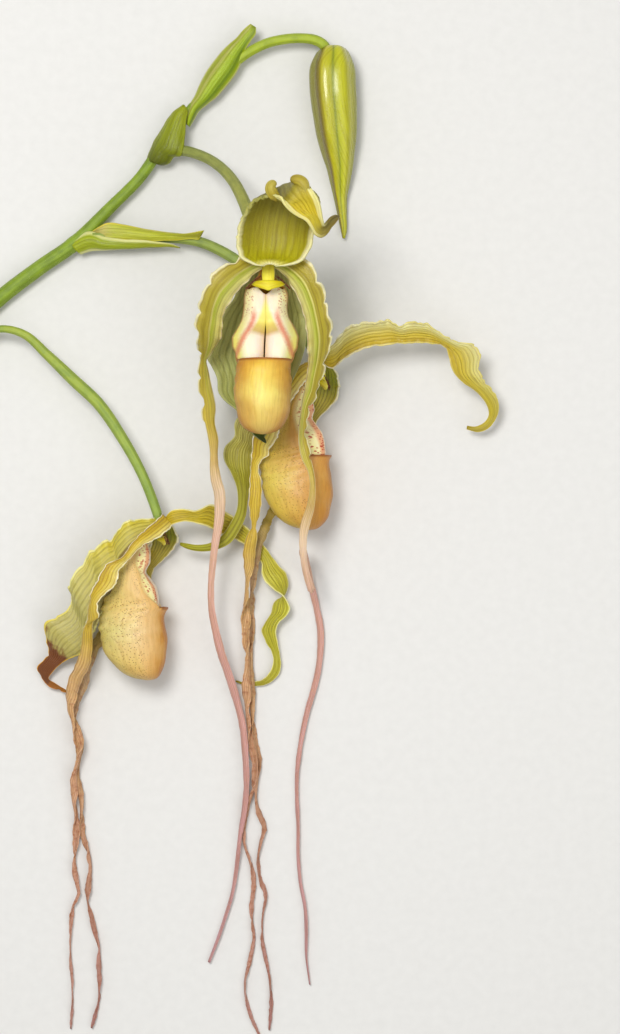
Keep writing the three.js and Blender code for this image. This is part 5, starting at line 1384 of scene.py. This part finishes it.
# %% [markdown]
# ## Finish of a lip
#
# A pouch is waxy and amber, with brown veins and fine specks, and its folded margins are ivory with red
# spots or, in the youngest flower, with a pink stripe on each side. The colour is worked out from where a
# point lies: how far round from the front, how far down, and for the margins how far in from the fold.
# That is why the mesh carries these numbers as attributes.

# %% Finish of a lip
SPECK = 0.7         # millimetres between the specks of a pouch
SPOT = 0.85         # millimetres between the spots of the folded margins
# The pink stripe of a folded margin: its distance from the fold, in shares of the margin, is
# STRIPE_START + STRIPE_SLOPE * down - STRIPE_BEND * down ** 2, with down from 0 to 1.
STRIPE_START, STRIPE_SLOPE, STRIPE_BEND = 0.207, 1.859, 2.603


def lip_finish(name, around, downwards, specks, stripes, salmon, spotting, spots_until, rim_side=0.47):
    """A pouch's skin. Around runs from the front to the back, downwards from the rim to the toe."""
    material, tree, shader = new_finish(name)
    run = add_node(tree, "Attribute", attribute_name="run")
    flat = add_node(tree, "Attribute", attribute_name="flat")
    lobe = add_node(tree, "Attribute", attribute_name="lobe")
    parts = add_node(tree, "SeparateXYZ", {"Vector": run.outputs["Vector"]})
    away = add_node(tree, "Math", {0: parts.outputs["X"]}, operation="ABSOLUTE")
    cloud = add_node(tree, "TexNoise", {"Vector": flat.outputs["Vector"], "Scale": 1 / 9, "Detail": 4.0})
    shift = add_node(tree, "Math", {0: cloud, 1: 0.35, 2: away}, operation="MULTIPLY_ADD")
    turned = add_node(tree, "Math", {0: shift, 1: 0.175}, operation="SUBTRACT")
    side = add_node(tree, "ValToRGB", {"Fac": turned}, around)
    fall = add_node(tree, "ValToRGB", {"Fac": parts.outputs["Y"]}, downwards)
    base = add_node(tree, "MixRGB", {"Fac": 1.0, "Color1": side, "Color2": fall}, blend_type="MULTIPLY")
    stretch = add_node(tree, "Mapping", {"Vector": flat.outputs["Vector"], "Scale": (0.9, 0.12, 1.0)})
    thread = add_node(tree, "TexNoise", {
        "Vector": stretch, "Scale": 1.0, "Detail": 5.0, "Distortion": 0.6,
    })
    tone = add_node(tree, "ValToRGB", {"Fac": thread}, [
        (0.32, "#C9B48C"), (0.5, "#F2EBDC"), (0.66, "#FFFFFF"),
    ])
    veined = add_node(tree, "MixRGB", {
        "Fac": 0.34, "Color1": base, "Color2": tone,
    }, blend_type="MULTIPLY")
    dots = add_node(tree, "TexVoronoi", {"Vector": flat.outputs["Vector"], "Scale": 1 / SPECK})
    dot = add_node(tree, "MapRange", {
        "Value": dots, "From Min": 0.18, "From Max": 0.34, "To Min": 0.9, "To Max": 0.0,
    })
    region = add_node(tree, "MapRange", {
        "Value": cloud, "From Min": 0.36, "From Max": 0.5, "To Min": 0.0, "To Max": specks,
    })
    behind = add_node(tree, "MapRange", {"Value": away, "From Min": 0.28, "From Max": 0.5})
    where = add_node(tree, "Math", {0: region, 1: behind}, operation="MULTIPLY")
    amount = add_node(tree, "Math", {0: dot, 1: where}, operation="MULTIPLY")
    specked = add_node(tree, "MixRGB", {"Fac": amount, "Color1": veined, "Color2": linear("#8A5A22")})
    above = add_node(tree, "MapRange", {
        "Value": parts.outputs["Y"], "From Min": RIM / TOE + 0.004, "From Max": RIM / TOE + 0.016,
        "To Min": 1.0, "To Max": 0.0,
    })
    ahead = add_node(tree, "MapRange", {
        "Value": away, "From Min": rim_side - 0.05, "From Max": rim_side, "To Min": 0.85,
        "To Max": 0.0,
    })
    rim = add_node(tree, "Math", {0: above, 1: ahead}, operation="MULTIPLY")
    pouch = add_node(tree, "MixRGB", {"Fac": rim, "Color1": specked, "Color2": linear("#8C4A12")})
    inner = add_node(tree, "SeparateXYZ", {"Vector": lobe.outputs["Vector"]})
    t = add_node(tree, "Math", {0: inner.outputs["X"]}, operation="ABSOLUTE")
    ivory = add_node(tree, "ValToRGB", {"Fac": t}, [
        (0.0, "#ECD68C"), (0.14, "#F4E4A0"), (0.28, "#F6E8B4"), (0.5, "#F6E6C4"), (0.85, "#F8E2CC"),
        (1.0, "#E4C098"),
    ])
    bent = add_node(tree, "Math", {
        0: inner.outputs["Y"], 1: -STRIPE_BEND, 2: STRIPE_SLOPE,
    }, operation="MULTIPLY_ADD")
    course = add_node(tree, "Math", {
        0: inner.outputs["Y"], 1: bent, 2: STRIPE_START + 0.05,
    }, operation="MULTIPLY_ADD")
    off = add_node(tree, "Math", {0: t, 1: course}, operation="SUBTRACT")
    grain = add_node(tree, "TexNoise", {"Vector": flat.outputs["Vector"], "Scale": 1.2, "Detail": 3.0})
    rough_off = add_node(tree, "Math", {0: grain, 1: 0.12, 2: off}, operation="MULTIPLY_ADD")
    near = add_node(tree, "Math", {0: rough_off}, operation="ABSOLUTE")
    stripe = add_node(tree, "MapRange", {
        "Value": near, "From Min": 0.03, "From Max": 0.17, "To Min": stripes, "To Max": 0.0,
    })
    start = add_node(tree, "MapRange", {"Value": inner.outputs["Y"], "From Min": 0.22, "From Max": 0.36})
    blush = add_node(tree, "Math", {0: stripe, 1: start}, operation="MULTIPLY")
    wedge = add_node(tree, "Math", {0: inner.outputs["Y"], 1: 0.87, 2: t}, operation="MULTIPLY_ADD")
    inside = add_node(tree, "MapRange", {"Value": wedge, "From Min": 0.98, "From Max": 1.1})
    ends = add_node(tree, "MapRange", {
        "Value": inner.outputs["Y"], "From Min": 0.5, "From Max": 0.56, "To Min": stripes, "To Max": 0.0,
    })
    yellow = add_node(tree, "Math", {0: inside, 1: ends}, operation="MULTIPLY")
    golden = add_node(tree, "ValToRGB", {"Fac": inner.outputs["Y"]}, [
        (0.0, "#F6E98A"), (0.25, "#F6EA66"), (0.36, "#F2E254"), (0.43, "#D6BE34"), (0.5, "#C8A436"),
        (0.54, "#BC9038"),
    ])
    low_part = add_node(tree, "MapRange", {
        "Value": inner.outputs["Y"], "From Min": 0.34, "From Max": 0.5, "To Min": 0.0, "To Max": stripes,
    })
    outer_part = add_node(tree, "MapRange", {
        "Value": t, "From Min": 0.12, "From Max": 0.36, "To Min": 1.0, "To Max": 0.0,
    })
    ear = add_node(tree, "Math", {0: low_part, 1: outer_part}, operation="MULTIPLY")
    eared = add_node(tree, "MixRGB", {"Fac": ear, "Color1": ivory, "Color2": linear("#FAEA66")})
    centred = add_node(tree, "MixRGB", {"Fac": yellow, "Color1": eared, "Color2": golden})
    striped = add_node(tree, "MixRGB", {"Fac": blush, "Color1": centred, "Color2": linear("#D8745A")})
    spots = add_node(tree, "TexVoronoi", {
        "Vector": flat.outputs["Vector"], "Scale": 1 / SPOT, "Randomness": 1.0,
    })
    spot = add_node(tree, "MapRange", {
        "Value": spots, "From Min": 0.3, "From Max": 0.44, "To Min": spotting,
        "To Max": 0.0,
    })
    band = add_node(tree, "ValToRGB", {"Fac": t}, [
        (0.02, "#606060"), (0.08, "#FFFFFF"), (0.2, "#FFFFFF"), (0.24, "#303030"), (0.28, "#FFFFFF"),
        (0.42, "#FFFFFF"), (0.5, "#000000"),
    ])
    strip = add_node(tree, "ValToRGB", {"Fac": t}, [
        (0.24, "#000000"), (0.3, "#FFFFFF"), (0.4, "#FFFFFF"), (0.47, "#000000"),
    ])
    flush = add_node(tree, "Math", {0: strip, 1: salmon}, operation="MULTIPLY")
    flushed = add_node(tree, "MixRGB", {"Fac": flush, "Color1": striped, "Color2": linear("#DE9060")})
    patch = add_node(tree, "MapRange", {
        "Value": cloud, "From Min": 0.4, "From Max": 0.5, "To Min": 0.5, "To Max": 1.0,
    })
    spotted = add_node(tree, "Math", {0: spot, 1: band}, operation="MULTIPLY")
    dotted = add_node(tree, "Math", {0: spotted, 1: patch}, operation="MULTIPLY")
    reach = add_node(tree, "MapRange", {
        "Value": inner.outputs["Y"], "From Min": spots_until, "From Max": spots_until + 0.15,
        "To Min": 1.0, "To Max": 0.0,
    })
    limited = add_node(tree, "Math", {0: dotted, 1: reach}, operation="MULTIPLY")
    margin = add_node(tree, "MixRGB", {"Fac": limited, "Color1": flushed, "Color2": linear("#B8452A")})
    colour = add_node(tree, "MixRGB", {"Fac": inner.outputs["Z"], "Color1": pouch, "Color2": margin})
    tree.links.new(colour.outputs["Color"], shader.inputs["Base Color"])
    cell = add_node(tree, "TexVoronoi", {"Vector": flat.outputs["Vector"], "Scale": 1 / CELL_WIDTH})
    height = add_node(tree, "Math", {0: thread, 1: 3.0, 2: cell}, operation="MULTIPLY_ADD")
    bump = add_node(tree, "Bump", {"Height": height, "Strength": 0.5, "Distance": 0.00012})
    tree.links.new(bump.outputs["Normal"], shader.inputs["Normal"])
    gloss = add_node(tree, "MapRange", {"Value": thread, "To Min": 0.3, "To Max": 0.5})
    tree.links.new(gloss.outputs["Result"], shader.inputs["Roughness"])
    let_light_in(shader, 1.4, 0.3, (1.0, 0.7, 0.25), 0.002)
    return material


LIP_FINISH = {
    "a": lip_finish(
        "amber_pouch_skin",
        [
            (0, "#F4E684"), (0.1, "#F0DC7A"), (0.2, "#E4C466"), (0.32, "#D2A84A"), (0.45, "#C09238"),
            (1, "#AE8430")
        ],
        [(0, "#E8DCA0"), (0.5, "#F0DCC0"), (0.56, "#F4D48C"), (0.66, "#FAE6B4"), (0.78, "#FFFDF4"),
         (0.88, "#F0E0D2"), (0.95, "#E8D4C6"), (1, "#DCC4B4")],
        specks=0.0, stripes=0.8, salmon=0.0, spotting=0.6, spots_until=0.25,
    ),
    "b": lip_finish(
        "orange_pouch_skin",
        [(0, "#B07420"), (0.15, "#CE9238"), (0.3, "#D8A450"), (0.42, "#DEAE68"), (0.54, "#E0B46C"),
         (0.66, "#E0C268"), (0.8, "#E0CA5E"), (1, "#C8B24C")],
        [(0.2, "#F4ECC8"), (0.56, "#FFF4DC"), (0.7, "#FFFFFF"), (0.88, "#FAF0D0"), (1, "#EEDCAC")],
        specks=0.7, stripes=0.0, salmon=0.8, spotting=1.0, spots_until=0.9,
    ),
    "c": lip_finish(
        "speckled_pouch_skin",
        [(0, "#BA741E"), (0.12, "#CE9038"), (0.2, "#DCAA5C"), (0.3, "#E6BE80"), (0.46, "#EACA92"),
         (0.6, "#E8D092"), (0.72, "#E0D088"), (0.86, "#D6C874"), (1, "#C8B45C")],
        [(0.2, "#F6EED0"), (0.56, "#FFF6E2"), (0.7, "#FFFFFF"), (0.88, "#FAEED0"), (1, "#ECD6A4")],
        specks=1.0, stripes=0.0, salmon=0.8, spotting=1.0, spots_until=0.9, rim_side=0.24,
    ),
}
for number, (key, flower) in enumerate(FLOWERS.items()):
    take_place(lip(f"lip_{key}_pouch", flower, 3 + number), f"lip_{key}", LIP_FINISH[key])

# %% [markdown]
# ## Fine hairs
#
# Stems of this plant are downy, and the shield of the column has a fringe of brown hairs. Hair curves
# don't leave Blender with the model, so each hair is a small three-sided cone of its own, and all hairs
# of one piece are one mesh.

# %% Hairs
def hairs(name, roots, aims, length, width, seed):
    """Small cones that stand on their roots. Roots in millimetres, aims are unit directions."""
    chance = np.random.default_rng(seed)
    lean = aims + chance.normal(0, 0.25, aims.shape)
    lean /= np.linalg.norm(lean, axis=1, keepdims=True)
    side = np.cross(lean, np.array([0.31, 0.57, 0.76]))
    side /= np.linalg.norm(side, axis=1, keepdims=True)
    other = np.cross(lean, side)
    tall = length * chance.uniform(0.6, 1.2, len(roots))[:, None]
    corners = [
        roots - 0.1 * lean + width * (math.cos(a) * side + math.sin(a) * other)
        for a in (0, 2 * math.pi / 3, 4 * math.pi / 3)
    ]
    points = np.stack([*corners, roots + tall * lean], 1).reshape(-1, 3)
    faces = []
    for i in range(0, len(points), 4):
        faces.extend([(i, i + 1, i + 3), (i + 1, i + 2, i + 3), (i + 2, i, i + 3), (i + 2, i + 1, i)])
    return mesh_piece(name, points, faces, np.zeros(points.shape), points)


def down_on_rod(name, parts, number, length, width, seed):
    """Hairs spread over a rod from its rows, normals and sides."""
    rows, normal, side = parts
    chance = np.random.default_rng(seed)
    pick = chance.integers(1, len(rows) - 1, number)
    angle = chance.uniform(0, 2 * math.pi, number)
    aims = side[pick] * np.cos(angle)[:, None] + normal[pick] * np.sin(angle)[:, None]
    roots = rows[pick, :3] + aims * rows[pick, 3, None]
    along = rows[np.minimum(pick + 1, len(rows) - 1), :3] - rows[pick, :3]
    roots = roots + along * chance.uniform(0, 1, (number, 1))
    return hairs(name, roots, aims, length, width, seed)


def hair_finish(name, root, tip):
    """Hair with a slightly lighter or darker tone from place to place."""
    material, tree, shader = new_finish(name)
    flat = add_node(tree, "Attribute", attribute_name="flat")
    tone = add_node(tree, "TexNoise", {"Vector": flat.outputs["Vector"], "Scale": 0.8})
    ramp = add_node(tree, "ValToRGB", {"Fac": tone}, [(0.35, root), (0.65, tip)])
    tree.links.new(ramp.outputs["Color"], shader.inputs["Base Color"])
    shader.inputs["Roughness"].default_value = 0.6
    return material


STEM_DOWN = {"number": 5200, "length": 0.6, "width": 0.05}
STALK_DOWN = {"number": 2200, "length": 0.5, "width": 0.045}
green_down = hair_finish("green_down", "#8FA63A", "#C9D48A")
stem_down = down_on_rod("stem_down", (stem_rows, stem_normal, stem_side), seed=11, **STEM_DOWN)
take_place(stem_down, None, green_down)
for number, (node, parts) in enumerate(stalks.items()):
    stalk_down = down_on_rod(node + "_down", parts, seed=30 + number, **STALK_DOWN)
    take_place(stalk_down, None, green_down)

# %% [markdown]
# ## Columns with their shields
#
# The column is the short stalk in the flower's middle that carries the pollen. In front of it stands a
# yellow shield, wide and low, with a fringe of dark hairs at both sides. The column and the shield are
# rods, the shield with a run from side to side, and the fringe stands on two short arcs beside them.

# %% Columns with their shields
COLUMN = [      # forward, down, half width, half thickness
    [0.2, 0.2, 1.6, 1.2], [0.6, 1.8, 2.3, 1.3], [0.9, 4.0, 2.5, 1.5], [1.2, 6.4, 2.5, 1.4],
    [1.5, 8.6, 2.1, 1.0], [1.5, 9.8, 1.0, 0.5],
]
SHIELD_HALF = 6.7
SHIELD_FORWARD = 2.5
column_finish = tissue(
    "column_tissue", [(0, "#D9C83C"), (0.4, "#F2E23A"), (1, "#F6EE4A")], "#D0BC50", "#F6EE5A",
    veins=4, vein_strength=0.15, margin_strength=0.0,
)
shield_finish = tissue(
    "shield_tissue", [(0, "#C2B400"), (0.25, "#DCCB0A"), (0.5, "#F0E43A"), (0.75, "#DCCB0A"), (1, "#C2B400")],
    "#C8B030", "#E6D82A", veins=4, vein_strength=0.2, margin_strength=0.0,
)
brown_hair = hair_finish("brown_fringe", "#5C241C", "#8E4A30")
FRINGE_HAIRS = 340
FRINGE_LENGTH, FRINGE_WIDTH = 0.9, 0.08
for number, (key, flower) in enumerate(FLOWERS.items()):
    ahead = np.array(flower["forward"], float)
    below = np.array(flower["down"], float)
    shift = flower.get("shield_shift", 0)
    stations = [[*in_flower(flower, shift, f, d), half, deep] for f, d, half, deep in COLUMN]
    piece, *_ = rod(f"column_{key}_stalk", stations, face=ahead, sides=28, step=0.5, rib_depth=0.02)
    take_place(piece, f"column_{key}", column_finish)
    stations = []
    for x in np.linspace(-1, 1, 23):
        top = 7.7 + 0.4 * x ** 2
        low = 12.0 - 1.9 * abs(x) ** 0.8
        round_off = math.sqrt(max(0.02, 1 - x ** 6))
        middle, half = (top + low) / 2, (low - top) / 2 * round_off
        bow = SHIELD_FORWARD - 2.6 * x * x
        stations.append(
            [*in_flower(flower, SHIELD_HALF * x + shift, bow, middle), half, 0.4 + 0.7 * round_off]
        )
    piece, rows, normal, side = rod(
        f"column_{key}_shield", stations, face=ahead, sides=24, step=0.4, rib_depth=0
    )
    take_place(piece, None, shield_finish)
    chance = np.random.default_rng(60 + number)
    sign = chance.choice([-1, 1], FRINGE_HAIRS)
    along = chance.uniform(0, 1, FRINGE_HAIRS) ** 0.8
    roots = in_flower(
        flower, shift + sign * (2.6 + 6.2 * along),
        1.6 + 2.6 * along + chance.uniform(-0.2, 0.2, FRINGE_HAIRS),
        6.0 + 5.6 * along ** 1.3 + chance.uniform(-0.25, 0.25, FRINGE_HAIRS),
    )
    across = np.cross(ahead, below)
    aims = -0.3 * below + 0.6 * ahead + sign[:, None] * across * 0.7
    aims = aims / np.linalg.norm(aims, axis=1, keepdims=True)
    fringe = hairs(f"column_{key}_fringe", roots, aims, FRINGE_LENGTH, FRINGE_WIDTH, 70 + number)
    take_place(fringe, None, brown_hair)

# %% [markdown]
# ## Sizes and the end
#
# The box round this finer model is printed, in millimetres.

# %% Sizes and the end
low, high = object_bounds()
print("visual box, millimetres:", [round(1000 * v) for v in high - low])
